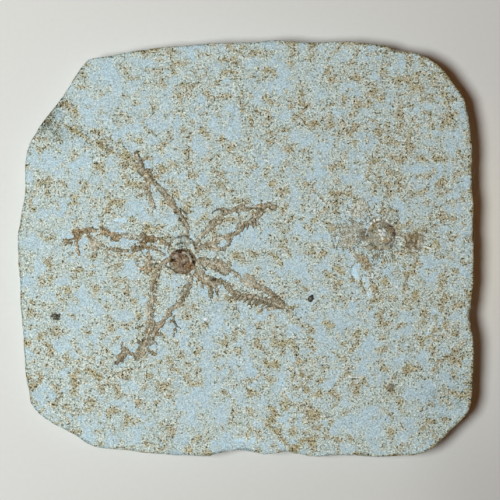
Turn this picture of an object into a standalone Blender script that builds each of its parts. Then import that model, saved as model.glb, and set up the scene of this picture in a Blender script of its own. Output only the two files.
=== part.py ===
"""A slab of platy limestone with a fossil feather star and a small sea urchin on it.

Lengths in this file are millimetres and are turned to metres when a mesh is made.
Frame: +Z up. The slab lies on its flat underside with the fossils on top. +X and +Y are
the right and the upper edge of the slab as it is seen from above, and the origin is on
the underside, in the middle of the slab's box.
"""

import math

import bmesh
import bpy
from mathutils import Matrix, Vector, noise

MM = 0.001
SPLINE_STEPS = 12

# Slab
SLAB_THICKNESS = 12.0
WALL_COLUMNS = 136
WALL_LEVELS = (
    # height, how much it sways, how far the wall lies inside the outline, how rough it is
    (0.0, 0.0, 1.3, 1.2),
    (1.0, 0.5, 0.6, 1.2),
    (3.6, 1.6, 0.3, 1.4),
    (6.4, 2.2, -0.5, 1.2),
    (7.4, 2.2, 0.2, 1.3),
    (10.3, 1.0, -0.3, 0.9),
    (12.0, 0.0, 0.1, 0.8),
)
LUMP_SIZE = 9.0
SWAY_SIZE = 24.0
SWAY_LAYER = 9.0

# Broken edge of the slab, clockwise from its upper left corner
OUTLINE = (
    (-63.1, 76.5), (-54.2, 77.9), (-41.4, 80.0), (-28.6, 81.4), (-15.9, 82.5), (1.2, 83.0),
    (12.7, 83.8), (23.5, 82.9), (36.3, 83.6), (49.0, 82.7), (56.7, 81.1), (60.5, 79.3),
    (67.5, 78.9), (73.9, 75.7), (81.6, 68.4), (87.0, 58.8), (89.5, 45.4), (90.0, 35.8),
    (89.7, 27.5), (90.5, 19.9), (90.2, 10.3), (90.8, -0.4), (90.0, -16.4), (89.2, -28.5),
    (90.8, -38.7), (90.0, -50.2), (89.5, -63.2), (84.1, -69.9), (77.7, -76.9), (72.0, -81.4),
    (63.7, -83.1), (54.1, -83.4), (44.6, -82.7), (35.0, -82.7), (28.0, -83.6), (22.9, -83.2),
    (17.8, -81.8), (12.7, -81.7), (6.9, -82.7), (1.2, -81.3), (-3.1, -80.9), (-9.5, -81.5),
    (-15.2, -82.9), (-22.3, -83.1), (-41.4, -81.7), (-59.2, -79.8), (-63.7, -78.5),
    (-68.8, -74.7), (-73.3, -72.5), (-81.0, -68.0), (-84.4, -64.8), (-86.7, -60.4),
    (-87.2, -55.9), (-88.5, -50.2), (-88.7, -41.8), (-90.4, -22.7), (-91.4, -0.4),
    (-91.3, 5.8), (-89.9, 14.8), (-88.9, 23.1), (-88.6, 32.6), (-87.6, 39.3), (-85.1, 45.7),
    (-80.6, 52.7), (-73.3, 62.0), (-67.6, 70.6),
)

# Chips struck off the upper rim: place near the edge, length along it, bite, drop
RIM_CHIPS = (
    ((-38.8, 80.0), 9.0, 0.7, 1.2), ((-17.6, 82.0), 7.0, 0.6, 1.0), ((1.2, 82.8), 8.0, 0.7, 1.4),
    ((26.0, 82.4), 9.0, 0.8, 1.6), ((43.6, 82.0), 10.0, 0.8, 1.6), ((60.4, 79.2), 5.0, 0.9, 1.8),
    ((86.0, 56.4), 8.0, 0.7, 1.4), ((90.0, 31.0), 9.0, 0.8, 1.6), ((90.4, 6.0), 8.0, 0.7, 1.4),
    ((89.2, -28.5), 9.0, 1.1, 2.0), ((88.6, -62.0), 7.0, 1.1, 2.0), ((79.6, -73.4), 9.0, 0.8, 1.6),
    ((34.0, -82.7), 8.0, 0.7, 1.4), ((15.6, -81.8), 8.0, 0.9, 1.8), ((-3.6, -81.0), 10.0, 0.9, 1.8),
    ((-30.0, -82.4), 9.0, 0.7, 1.2), ((-66.0, -76.6), 8.0, 0.8, 1.6), ((-83.0, -66.4), 8.0, 0.7, 1.6),
    ((-88.4, -51.0), 7.0, 0.7, 1.4), ((-90.8, -14.0), 8.0, 0.6, 1.2), ((-88.9, 26.0), 9.0, 0.8, 1.4),
    ((-83.6, 48.4), 7.0, 0.8, 1.6), ((-70.4, 66.0), 8.0, 0.8, 1.6),
)

# Both fossils stand just clear of the bedding plane that carries them
REST_GAP = 0.3
REST_HEIGHT = SLAB_THICKNESS + REST_GAP
REST_BLOCK = (260.0, 240.0, 8.0)

# Feather star: the round body, the plate beside it and the swellings of the arms
# Each: place, half length, half width, height, turn in degrees
STAR_BODY = ((-25.6, -4.8), 5.6, 5.0, 1.25, 20.0)
STAR_SWELLINGS = (
    ((-26.2, 2.6), 4.2, 2.6, 0.7, 8.0),
    ((-10.4, -6.6), 4.6, 3.2, 0.6, -20.0),
    ((1.6, -12.4), 3.8, 2.0, 0.55, -40.0),
    ((9.6, -20.2), 5.6, 2.2, 0.7, -25.0),
    ((-12.0, 3.8), 3.6, 2.4, 0.6, 10.0),
    ((-43.8, 1.4), 3.8, 1.3, 0.7, 12.0),
    ((-52.6, 5.2), 3.4, 1.5, 0.7, -22.0),
    ((-37.6, 4.2), 3.0, 1.6, 0.6, 20.0),
    ((-68.4, 6.2), 2.6, 1.9, 0.7, 40.0),
    ((-41.0, 29.8), 3.2, 2.0, 0.6, -55.0),
    ((-41.6, -39.6), 3.4, 1.5, 0.7, 55.0),
    ((-41.0, -5.0), 2.6, 2.4, 0.35, 0.0),
)

# Arms and branches: centreline, half width at the root and at the tip, crest, side branchlet
ARMS = (
    ("arm_01", ((-24.0, 1.6), (-23.2, 5.2), (-24.4, 9.6), (-26.4, 13.2), (-29.2, 17.2), (-32.4, 21.2),
                (-36.0, 25.2), (-39.2, 28.0), (-42.0, 32.4), (-44.4, 36.0)), 0.8, 1.1, 0.8, 0.9),
    ("arm_02", ((-28.4, 0.0), (-31.6, 2.4), (-38.0, 4.4), (-44.8, 5.2), (-52.0, 4.8), (-56.8, 6.8),
                (-62.8, 7.6), (-67.6, 6.8), (-69.6, 4.0), (-72.4, 3.2)), 1.1, 0.9, 0.8, 0.8),
    ("arm_03", ((-29.2, -2.8), (-32.8, -1.2), (-38.0, 1.2), (-42.8, 1.6), (-48.0, -0.4), (-54.0, 0.0),
                (-58.4, 1.2), (-62.8, 5.8)), 0.9, 0.8, 0.7, 0.7),
    ("arm_04", ((-29.6, -5.0), (-32.8, -5.4), (-35.0, -8.8), (-36.8, -13.2), (-38.0, -18.0),
                (-38.4, -24.4), (-39.2, -32.4), (-41.0, -37.6), (-44.0, -43.2)), 0.9, 0.9, 0.8, 0.6),
    ("arm_05", ((-24.4, -8.4), (-22.4, -12.8), (-24.4, -17.6), (-28.4, -22.8), (-32.4, -27.6),
                (-35.6, -30.8), (-37.6, -34.4), (-39.2, -38.4), (-41.6, -42.4)), 0.9, 0.8, 0.7, 0.8),
    ("arm_06", ((-22.8, -6.8), (-19.6, -9.2), (-14.8, -12.4), (-8.4, -16.0), (-2.0, -18.8),
                (4.4, -20.4), (10.0, -21.6), (15.2, -22.0)), 1.2, 0.9, 0.8, 1.0),
    ("arm_07", ((-22.0, -4.0), (-16.8, -4.0), (-10.8, -6.4), (-5.2, -9.6), (0.0, -12.4),
                (5.2, -16.0), (10.4, -19.6), (15.6, -22.8)), 1.1, 0.9, 0.75, 0.9),
    ("arm_08", ((-22.8, -0.4), (-19.2, 4.0), (-15.6, 8.8), (-11.2, 14.0), (-6.0, 16.0), (0.4, 16.8),
                (6.0, 16.8), (11.6, 17.2)), 1.0, 0.9, 0.8, 0.9),
    ("arm_09", ((-22.0, -2.0), (-17.2, 0.0), (-11.6, 1.2), (-7.2, 3.2), (-2.8, 7.6), (2.0, 12.4),
                (7.6, 15.6)), 1.0, 0.8, 0.75, 0.8),
    ("arm_10", ((-37.0, 26.4), (-39.6, 23.6), (-41.6, 22.0), (-43.6, 20.8)), 0.7, 0.5, 0.5, 0.5),
    ("branch_01", ((-37.6, 26.8), (-38.4, 22.4), (-37.6, 19.6), (-36.8, 16.8)), 0.7, 0.5, 0.45, 0.5),
    ("branch_02", ((-59.4, 2.6), (-61.6, -1.2), (-63.8, -2.8)), 0.7, 0.5, 0.45, 0.4),
    ("branch_03", ((-69.2, 5.0), (-68.0, 0.0), (-66.0, -2.8)), 0.7, 0.5, 0.45, 0.4),
    ("branch_04", ((-33.4, -6.2), (-38.8, -7.2), (-42.4, -6.8), (-44.4, -5.2), (-44.8, -3.2)),
     0.7, 0.5, 0.45, 0.4),
    ("branch_05", ((-42.6, -42.4), (-46.4, -42.0), (-49.2, -41.2), (-50.8, -43.6), (-52.2, -46.2)),
     0.7, 0.6, 0.5, 0.5),
    ("branch_06", ((-48.2, -41.8), (-49.2, -40.0), (-49.6, -38.0)), 0.5, 0.4, 0.4, 0.3),
    ("branch_07", ((-26.2, -20.2), (-28.8, -26.8), (-31.6, -30.0)), 0.6, 0.5, 0.45, 0.4),
    ("branch_08", ((-30.8, -25.0), (-28.6, -29.6), (-28.4, -35.6)), 0.6, 0.4, 0.4, 0.4),
    ("branch_09", ((-13.6, 0.4), (-13.6, 3.6), (-10.8, 5.6), (-6.4, 4.4)), 0.7, 0.6, 0.5, 0.4),
    ("cirrus_01", ((-21.6, -7.4), (-16.8, -12.8), (-14.4, -16.4), (-14.4, -20.0)), 0.7, 0.4, 0.5, 0.3),
    ("cirrus_02", ((-15.8, -11.6), (-12.8, -16.0), (-11.6, -19.2)), 0.6, 0.4, 0.45, 0.3),
    ("cirrus_03", ((-22.2, -8.0), (-18.4, -12.0), (-17.6, -15.2)), 0.6, 0.4, 0.45, 0.3),
)
BRANCHLET_STEP = 2.5

# How far the ridges of both fossils run on below the plane where they are cut flat
RIDGE_DEPTH = 0.3
DEPTH_STEP = 0.011

# Small sea urchin: the test, the crushed patches around it and its scattered spines
URCHIN_PLACE = (53.6, 5.2)
TEST_RADIUS = 6.2
TEST_HEIGHT = 1.9
TEST_TURN = 9.0
TEST_FIELDS = 5
FIELD_RELIEF = 0.07
URCHIN_PATCHES = (
    # place from the middle of the test, half length, half width, height, turn in degrees
    ((0.0, 0.0), 11.0, 9.0, 0.4, 25.0),
    ((-12.6, 0.2), 7.2, 5.8, 0.45, 80.0),
    ((-9.0, 10.6), 6.6, 5.0, 0.4, 35.0),
    ((13.0, -2.0), 6.6, 4.8, 0.5, 10.0),
    ((-6.8, -9.6), 7.4, 3.0, 0.5, -32.0),
    ((3.6, 8.6), 5.2, 3.0, 0.45, -35.0),
)
SPINE_SHAPE = (0.45, 0.25, 0.8, 0.05)  # half width at the root and tip, crest, side point
SPINE_COUNT = 20
SPINE_REACH = (8.5, 13.0)
FALLEN_SPINES = 12
FALLEN_LENGTH = 4.6


def clear_scene():
    for old in list(bpy.data.objects):
        bpy.data.objects.remove(old, do_unlink=True)


def make_collection(name):
    group = bpy.data.collections.new(name)
    bpy.context.scene.collection.children.link(group)
    return group


def make_material(name, colour, roughness):
    material = bpy.data.materials.new(name)
    material.use_nodes = True
    shader = material.node_tree.nodes["Principled BSDF"]
    shader.inputs["Base Color"].default_value = (*colour, 1.0)
    shader.inputs["Roughness"].default_value = roughness
    shader.inputs["Metallic"].default_value = 0.0
    return material


def spline_point(before, start, end, after, t):
    """One point of the smooth curve that runs through four points, between the middle two."""
    return 0.5 * (
        2.0 * start
        + (end - before) * t
        + (2.0 * before - 5.0 * start + 4.0 * end - after) * t * t
        + (3.0 * start - before - 3.0 * end + after) * t * t * t
    )


def even_steps(line, count):
    """Points at equal distances along a dense line, both ends included."""
    reach = [0.0]
    for a, b in zip(line, line[1:]):
        reach.append(reach[-1] + (b - a).length)
    points = []
    span = 0
    for k in range(count):
        goal = reach[-1] * k / (count - 1)
        while span < len(line) - 2 and reach[span + 1] < goal:
            span += 1
        share = (goal - reach[span]) / max(reach[span + 1] - reach[span], 1e-9)
        points.append(line[span].lerp(line[span + 1], min(share, 1.0)))
    return points, reach[-1]


def closed_curve(points, count):
    """A smooth closed line through the points, as evenly spaced columns."""
    knots = [Vector(p) for p in points]
    size = len(knots)
    line = [
        spline_point(knots[i - 1], knots[i], knots[(i + 1) % size], knots[(i + 2) % size],
                     k / SPLINE_STEPS)
        for i in range(size)
        for k in range(SPLINE_STEPS)
    ]
    line.append(line[0].copy())
    return even_steps(line, count + 1)[0][:-1]


def open_curve(points, step):
    """A smooth open line through the points, in steps of about the given length."""
    knots = [Vector(p) for p in points]
    knots = [2.0 * knots[0] - knots[1], *knots, 2.0 * knots[-1] - knots[-2]]
    line = [
        spline_point(*knots[i : i + 4], k / SPLINE_STEPS)
        for i in range(len(knots) - 3)
        for k in range(SPLINE_STEPS)
    ]
    line.append(knots[-2])
    length = even_steps(line, 2)[1]
    return even_steps(line, max(3, round(length / step) + 1))[0]


def middle_of(points):
    """The middle of a box around the points, seen from above."""
    low = Vector((min(p.x for p in points), min(p.y for p in points)))
    high = Vector((max(p.x for p in points), max(p.y for p in points)))
    return (low + high) / 2.0


def outward(points, i):
    """The direction that leads out of a clockwise loop at one of its points."""
    along = points[(i + 1) % len(points)] - points[i - 1]
    return Vector((-along.y, along.x)).normalized()


def new_object(name, mesh, group, material, smooth_angle=None):
    mesh.materials.append(material)
    if smooth_angle is not None:
        mesh.shade_smooth()
        mesh.set_sharp_from_angle(angle=math.radians(smooth_angle))
    item = bpy.data.objects.new(name, mesh)
    group.objects.link(item)
    return item


def finish_mesh(bm, name):
    """Faces turned outward and lengths turned to metres."""
    bmesh.ops.recalc_face_normals(bm, faces=bm.faces)
    bmesh.ops.scale(bm, vec=(MM, MM, MM), verts=bm.verts)
    mesh = bpy.data.meshes.new(name)
    bm.to_mesh(mesh)
    bm.free()
    return mesh


def mark_cutter(item):
    """A shape that only serves to cut another or to be fused into it."""
    item.hide_render = True
    item.display_type = "WIRE"


def add_boolean(item, operation, group):
    modifier = item.modifiers.new(operation.lower(), "BOOLEAN")
    modifier.operation = operation
    modifier.operand_type = "COLLECTION"
    modifier.collection = group
    modifier.solver = "EXACT"


def wall_ring(edge, height, sway, inset, rough):
    """One ring of the broken wall: it winds up and down and in and out along the edge."""
    ring = []
    for i, place in enumerate(edge):
        lump = noise.noise(Vector((place.x / LUMP_SIZE, place.y / LUMP_SIZE, height)))
        lift = noise.noise(Vector((place.x / SWAY_SIZE, place.y / SWAY_SIZE, SWAY_LAYER)))
        spot = place - outward(edge, i) * (inset + rough * (0.5 + lump))
        ring.append(Vector((spot.x, spot.y, height + sway * lift)))
    return ring


def slab_mesh(rings):
    bm = bmesh.new()
    loops = [[bm.verts.new(place) for place in ring] for ring in rings]
    for lower, upper in zip(loops, loops[1:]):
        for i in range(len(lower)):
            bm.faces.new((lower[i - 1], lower[i], upper[i], upper[i - 1]))
    bm.faces.new(loops[0])
    bm.faces.new(loops[-1])
    return finish_mesh(bm, "slab")


def chip_mesh(edge, place, length, bite, drop):
    """A shell-shaped scoop that takes a chip off the upper rim."""
    nearest = min(range(len(edge)), key=lambda i: (edge[i] - place).length)
    out = outward(edge, nearest)
    bm = bmesh.new()
    bmesh.ops.create_icosphere(bm, subdivisions=2, radius=1.0)
    bmesh.ops.scale(bm, vec=(2.0 * bite, length / 2.0, drop), verts=bm.verts)
    bmesh.ops.rotate(bm, verts=bm.verts, matrix=Matrix.Rotation(math.atan2(out.y, out.x), 3, "Z"))
    centre = edge[nearest] + out * bite
    bmesh.ops.translate(bm, vec=(centre.x, centre.y, SLAB_THICKNESS + 0.1), verts=bm.verts)
    return finish_mesh(bm, "chip")


def ridge_mesh(line, root, tip, crest, branchlet, depth):
    """A low ridge along a line, with pointed branchlets on both sides.

    Its sides run on below the plane that it rests on, so that it can be cut flat there.
    """
    bm = bmesh.new()
    last = len(line) - 1
    top, left, right = [], [], []
    for i, place in enumerate(line):
        ahead = (line[min(i + 1, last)] - line[max(i - 1, 0)]).normalized()
        side = Vector((-ahead.y, ahead.x))
        share = i / last
        height = crest * (1.0 - 0.5 * share**3)
        spread = (height + depth) / height
        half = (root + (tip - root) * share) * spread
        tooth = branchlet * (0.75 + 0.5 * abs(math.sin(2.3 * i))) * spread
        top.append(bm.verts.new((place.x, place.y, REST_HEIGHT + height)))
        for sign, rim in ((1.0, left), (-1.0, right)):
            point = place + side * sign * (half + tooth) + ahead * 0.5 * tooth
            rim.append(bm.verts.new((point.x, point.y, REST_HEIGHT - depth)))
            if i < last:
                valley = place.lerp(line[i + 1], 0.5) + side * sign * half
                rim.append(bm.verts.new((valley.x, valley.y, REST_HEIGHT - depth)))
    apex_place = line[last] + (line[last] - line[last - 1]).normalized() * (tip + branchlet)
    apex = bm.verts.new((apex_place.x, apex_place.y, REST_HEIGHT - depth))
    for rim in (left, right):
        for i in range(last):
            point, valley, following = rim[2 * i : 2 * i + 3]
            bm.faces.new((top[i], point, valley))
            bm.faces.new((top[i], valley, top[i + 1]))
            bm.faces.new((top[i + 1], valley, following))
        bm.faces.new((top[last], rim[-1], apex))
    bm.faces.new((top[0], left[0], right[0]))
    bm.faces.new((*left, apex, *reversed(right)))
    return finish_mesh(bm, "ridge")


def dome_mesh(place, half_length, half_width, height, turn, rough=0.0, fields=0):
    """A low lens, half of it above the plane it rests on. Fields are the ribs of a test."""
    bm = bmesh.new()
    segments = 4 * fields if fields else 12
    rings = 8 if fields else 6
    bmesh.ops.create_uvsphere(bm, u_segments=segments, v_segments=rings, radius=1.0)
    for vert in bm.verts:
        angle = math.atan2(vert.co.y, vert.co.x)
        swell = 1.0 + rough * noise.noise(vert.co * 2.1 + Vector((place[0], place[1], 0.0)))
        if fields:
            rim = math.hypot(vert.co.x, vert.co.y)
            swell += FIELD_RELIEF * rim * math.cos(2 * fields * angle)
        vert.co *= swell
    bmesh.ops.scale(bm, vec=(half_length, half_width, height), verts=bm.verts)
    bmesh.ops.rotate(bm, verts=bm.verts, matrix=Matrix.Rotation(math.radians(turn), 3, "Z"))
    bmesh.ops.translate(bm, vec=(place[0], place[1], REST_HEIGHT), verts=bm.verts)
    return finish_mesh(bm, "dome")


def add_rest_cut(item, group, material):
    """Cuts a fossil flat along the plane that it rests on."""
    bm = bmesh.new()
    bmesh.ops.create_cube(bm, size=1.0)
    bmesh.ops.scale(bm, vec=REST_BLOCK, verts=bm.verts)
    bmesh.ops.translate(bm, vec=(0.0, 0.0, REST_HEIGHT - REST_BLOCK[2] / 2.0), verts=bm.verts)
    mark_cutter(new_object(f"{item.name}_rest", finish_mesh(bm, "rest"), group, material))
    add_boolean(item, "DIFFERENCE", group)


def build_slab(parts, cutters, edge, rings, shift):
    stone = make_material("limestone", (0.41, 0.46, 0.43), 0.85)
    edge = [place + shift for place in edge]
    rings = [[place + shift.to_3d() for place in ring] for ring in rings]
    slab = new_object("slab", slab_mesh(rings), parts, stone)
    for k, (place, length, bite, drop) in enumerate(RIM_CHIPS):
        mesh = chip_mesh(edge, Vector(place) + shift, length, bite, drop)
        mark_cutter(new_object(f"chip_{k:02d}", mesh, cutters, stone))
    add_boolean(slab, "DIFFERENCE", cutters)


def build_feather_star(parts, pieces, rest, shift):
    ochre = make_material("ochre_calcite", (0.28, 0.23, 0.15), 0.8)
    place, half_length, half_width, height, turn = STAR_BODY
    body = dome_mesh(Vector(place) + shift, half_length, half_width, height, turn, rough=0.25)
    star = new_object("feather_star", body, parts, ochre, smooth_angle=40.0)
    for k, (place, half_length, half_width, height, turn) in enumerate(STAR_SWELLINGS):
        mesh = dome_mesh(Vector(place) + shift, half_length, half_width, height, turn, rough=0.2)
        mark_cutter(new_object(f"swelling_{k:02d}", mesh, pieces, ochre, smooth_angle=40.0))
    for k, (name, points, root, tip, crest, branchlet) in enumerate(ARMS):
        line = open_curve([Vector(p) + shift for p in points], BRANCHLET_STEP)
        mesh = ridge_mesh(line, root, tip, crest, branchlet, RIDGE_DEPTH + k * DEPTH_STEP)
        mark_cutter(new_object(name, mesh, pieces, ochre))
    add_boolean(star, "UNION", pieces)
    add_rest_cut(star, rest, ochre)


def radial_spines(place):
    """Spines that still stand out from the test all round."""
    low, high = SPINE_REACH
    spines = []
    for k in range(SPINE_COUNT):
        angle = math.radians(360.0 * k / SPINE_COUNT + 7.0 * math.sin(3.1 * k))
        bend = angle + math.radians(16.0 * math.sin(1.7 * k))
        reach = low + (high - low) * abs(math.sin(1.9 * k + 0.4))
        start = place + Vector((math.cos(angle), math.sin(angle))) * (TEST_RADIUS - 1.2)
        spines.append((start, place + Vector((math.cos(bend), math.sin(bend))) * reach))
    return spines


def fallen_spines(place):
    """Spines that lie across each other on the two large patches beside the test."""
    spines = []
    for k in range(FALLEN_SPINES):
        offset = Vector(URCHIN_PATCHES[1 + k % 2][0])
        angle = 2.4 * k
        middle = place + offset + Vector((math.cos(5.1 * k), math.sin(5.1 * k))) * (1.0 + 0.25 * k)
        half = Vector((math.cos(angle), math.sin(angle))) * FALLEN_LENGTH / 2.0
        spines.append((middle - half, middle + half))
    return spines


def build_small_urchin(parts, pieces, rest, shift):
    tan = make_material("tan_calcite", (0.33, 0.29, 0.19), 0.8)
    place = Vector(URCHIN_PLACE) + shift
    test = dome_mesh(place, TEST_RADIUS, TEST_RADIUS, TEST_HEIGHT, TEST_TURN, fields=TEST_FIELDS)
    urchin = new_object("small_urchin", test, parts, tan, smooth_angle=40.0)
    for k, (offset, half_length, half_width, height, turn) in enumerate(URCHIN_PATCHES):
        mesh = dome_mesh(place + Vector(offset), half_length, half_width, height, turn, rough=0.5)
        mark_cutter(new_object(f"patch_{k:02d}", mesh, pieces, tan, smooth_angle=40.0))
    for k, (start, end) in enumerate(radial_spines(place) + fallen_spines(place)):
        mesh = ridge_mesh([start, end], *SPINE_SHAPE, RIDGE_DEPTH + k * DEPTH_STEP)
        mark_cutter(new_object(f"spine_{k:02d}", mesh, pieces, tan))
    add_boolean(urchin, "UNION", pieces)
    add_rest_cut(urchin, rest, tan)


def main():
    clear_scene()
    parts = make_collection("fossil_slab")
    chips = make_collection("rim_chips")
    star_pieces = make_collection("feather_star_pieces")
    urchin_pieces = make_collection("small_urchin_pieces")
    star_rest = make_collection("feather_star_rest")
    urchin_rest = make_collection("small_urchin_rest")
    edge = closed_curve(OUTLINE, WALL_COLUMNS)
    rings = [wall_ring(edge, *level) for level in WALL_LEVELS]
    middle = middle_of([place for ring in rings for place in ring])
    build_slab(parts, chips, edge, rings, -middle)
    build_feather_star(parts, star_pieces, star_rest, -middle)
    build_small_urchin(parts, urchin_pieces, urchin_rest, -middle)


main()
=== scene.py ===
"""Looks of a limestone slab with a fossil feather star and a small fossil sea urchin.

Lengths in this file are millimetres and are turned to metres when a mesh is made.
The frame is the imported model's: +Z up, +X and +Y the right and upper edge of the slab as it
is seen from above, the origin on the underside in the middle of the slab's box.
"""

import math
from itertools import product

import bmesh
import bpy
import numpy as np
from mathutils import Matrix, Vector, geometry
from mathutils.bvhtree import BVHTree


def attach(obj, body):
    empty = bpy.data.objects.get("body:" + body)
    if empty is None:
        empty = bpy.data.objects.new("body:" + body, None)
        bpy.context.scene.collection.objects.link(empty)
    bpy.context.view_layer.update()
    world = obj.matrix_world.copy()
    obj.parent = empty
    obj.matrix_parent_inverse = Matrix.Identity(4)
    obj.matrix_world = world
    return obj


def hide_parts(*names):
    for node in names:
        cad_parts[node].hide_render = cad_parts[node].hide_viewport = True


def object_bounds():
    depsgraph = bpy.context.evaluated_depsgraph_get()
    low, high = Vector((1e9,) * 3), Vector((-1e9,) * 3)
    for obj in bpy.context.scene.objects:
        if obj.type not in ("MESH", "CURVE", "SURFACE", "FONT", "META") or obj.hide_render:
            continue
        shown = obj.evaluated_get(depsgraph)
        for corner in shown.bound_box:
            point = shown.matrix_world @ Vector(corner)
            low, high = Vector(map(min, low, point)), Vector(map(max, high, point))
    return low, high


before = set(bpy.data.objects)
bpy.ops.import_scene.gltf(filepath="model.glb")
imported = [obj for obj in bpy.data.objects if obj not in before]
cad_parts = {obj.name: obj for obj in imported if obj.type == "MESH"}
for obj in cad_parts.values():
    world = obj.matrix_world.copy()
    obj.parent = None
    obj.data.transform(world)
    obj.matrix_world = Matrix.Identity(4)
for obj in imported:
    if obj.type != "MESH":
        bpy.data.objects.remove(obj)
cad_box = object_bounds()

MM = 0.001

# Places on the slab are read from a point that lies this far from the frame's origin
READING_POINT = np.array((0.53, -0.39))

# Whole numbers that mix the cells of a noise
HASH_FACTORS = np.array((374761393, 668265263, 144269504))
HASH_SEED = 97463477
HASH_MIX = 1274126177
HASH_MASK = 0xFFFFFFFF

# Noise in the meshes: size, seed, how many sizes on top of each other, how they fade
MESH_NOISE = {
    "wall wave": (14.0, 3), "lamina": (0.85, 5), "lamina end": (5.0, 6), "facet": (4.2, 8),
    "wall grain": (0.9, 9), "rim nick": (3.0, 21, 3), "underside": (12.0, 41),
    "long swell": (26.0, 31), "short swell": (9.0, 32), "flake": (15.0, 33, 3),
    "bedding grain": (3.2, 34, 3, 0.6), "stain": (2.6, 45, 3), "rust": (2.6, 46, 3), "clear": (1.0, 47, 3),
    "arm gap": (1.4, 50), "arm edge": (1.5, 51), "arm nick": (0.62, 52), "arm grain": (0.62, 53),
    "streak": (1.0, 54), "arm shade": (0.9, 60, 3), "body": (1.4, 55, 3), "plate": (1.3, 57, 3),
    "bend x": (2.6, 58), "bend y": (2.6, 59), "test edge": (3.4, 81), "test": (3.0, 82, 3),
    "patch edge": (2.8, 83, 3), "patch": (0.9, 84, 3), "mottle": (1.0, 85, 3), "blotch": (1.1, 86, 3),
}

# Noise in the materials: size, detail, roughness, offset
COLOUR_NOISE = {
    "sway": (2.4, 1.0, 0.5, 3.0), "zone": (7.0, 2.0, 0.55, 11.0), "clump": (3.5, 1.0, 0.55, 21.0),
    "warm cloud": (12.0, 1.0, 0.5, 62.0), "olive": (6.0, 1.0, 0.5, 66.0), "cloud": (2.6, 2.0, 0.5, 53.0),
    "fine": (0.56, 1.0, 0.5, 51.0), "coarse": (0.95, 1.0, 0.5, 52.0), "pit": (0.8, 1.0, 0.5, 56.0),
    "stone rise": (0.9, 3.0, 0.65, 71.0), "core rise": (0.6, 1.0, 0.5, 75.0),
    "grain rise": (0.4, 2.0, 0.6, 37.0), "warmth": (2.2, 2.0, 0.6, 3.0), "crumb": (0.8, 2.0, 0.6, 55.0),
    "fossil cloud": (1.7, 1.0, 0.5, 53.0), "chalk_and_highlight": (1.0, 2.0, 0.6, 23.0),
    "cover": (1.2, 2.0, 0.6, 73.0), "fossil rise": (0.5, 3.0, 0.6, 33.0), "fibre": (2.0, 4.0, 0.6, 0.0),
}

# Tones as they show on a screen, 0 to 255. A run of tones gives each one's place first
STONE_TONES = ((0.0, 168, 199, 214), (0.2, 174, 194, 197), (0.4, 178, 192, 185), (0.6, 177, 184, 171),
               (0.8, 168, 168, 148), (1.0, 159, 150, 117))
OLIVE_TONE = (162, 160, 122)
GRAIN_TONES = ((0.0, 80, 76, 60), (0.3, 138, 132, 114), (0.55, 176, 186, 180), (0.75, 188, 208, 216),
               (1.0, 238, 248, 252))
FOSSIL_TONES = ((0.0, 176, 184, 173), (0.35, 170, 166, 146), (0.6, 162, 148, 120), (1.0, 152, 124, 80))
YELLOW_TONE = (158, 144, 96)
RED_TONE = (146, 116, 98)
# White of the feather star's chalk specks and of its painted highlights
STAR_CHALK_AND_HIGHLIGHT = (204, 207, 194)
URCHIN_CHALK = (226, 236, 236)
# The paper's own tone, then the warmer tone of its painted pool of light
PAPER_AND_PAINTED_LIGHT_TONES = ((231, 231, 227), (233, 229, 218))
SCREEN_GAMMA = 2.2
LEAST_TONE = (0.05, 0.05, 0.05)

# Slab: its broken wall and its bedding plane
SLAB_TOP = 12.0
WALL_COLUMNS = 1000
WALL_HEIGHTS = np.linspace(0.0, 11.5, 23)
WALL_SCAN = 2400
WALL_REACH = 140.0
SCAN_HEIGHT = 11.0
SCAN_MARGIN = 0.02
RIM_ROUNDING = ((11.75, 0.02), (11.92, 0.08), (12.0, 0.22))  # height, inset
RIM_LEAN = 0.62  # how far the left and right walls lean out, from the first to the second height
RIM_LEAN_HEIGHTS = (8.6, 11.5)
TOP_SPACING = 0.75
MARK_SPACING = 0.28
MARK_MARGIN = 0.6
UNDERSIDE_SPACING = 2.4
LAMINA_DEPTH = 0.3
FACET_DEPTH = 0.5
# Painted shade: how much darker the rim's rounding is painted
RIM_PAINTED_SHADE = 0.6

# Areas of the bedding plane with more or less ochre: how much, middle, reach
OCHRE_AREAS = (
    (0.7, 57, 65, 20), (0.8, 78, 66, 12), (0.5, 57, 40, 14), (0.8, 81, 23, 11), (0.6, 84, -4, 9),
    (0.8, 74, -24, 11), (0.6, 84, -50, 12), (1, 21, -72, 10), (0.8, -67, -58, 13), (0.6, 46, -17, 8),
    (0.6, -31, 75, 8), (0.5, 20, -40, 7), (-1.1, -50, 68, 8), (-1.1, 29, 69, 8), (-1, 1, 46, 5),
    (-1.1, -82, 4, 8), (-0.9, 0, 9, 6), (-0.5, 21, -8, 12), (-0.7, -85, -16, 6), (-0.6, -19, -26, 6),
    (-0.4, -59, -24, 8), (-1.1, -15, -65, 10), (-1, 44, -71, 10), (-0.4, -75, 31, 9), (-0.9, -73, 52, 11),
    (-0.5, 66, -58, 8),
)

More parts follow.
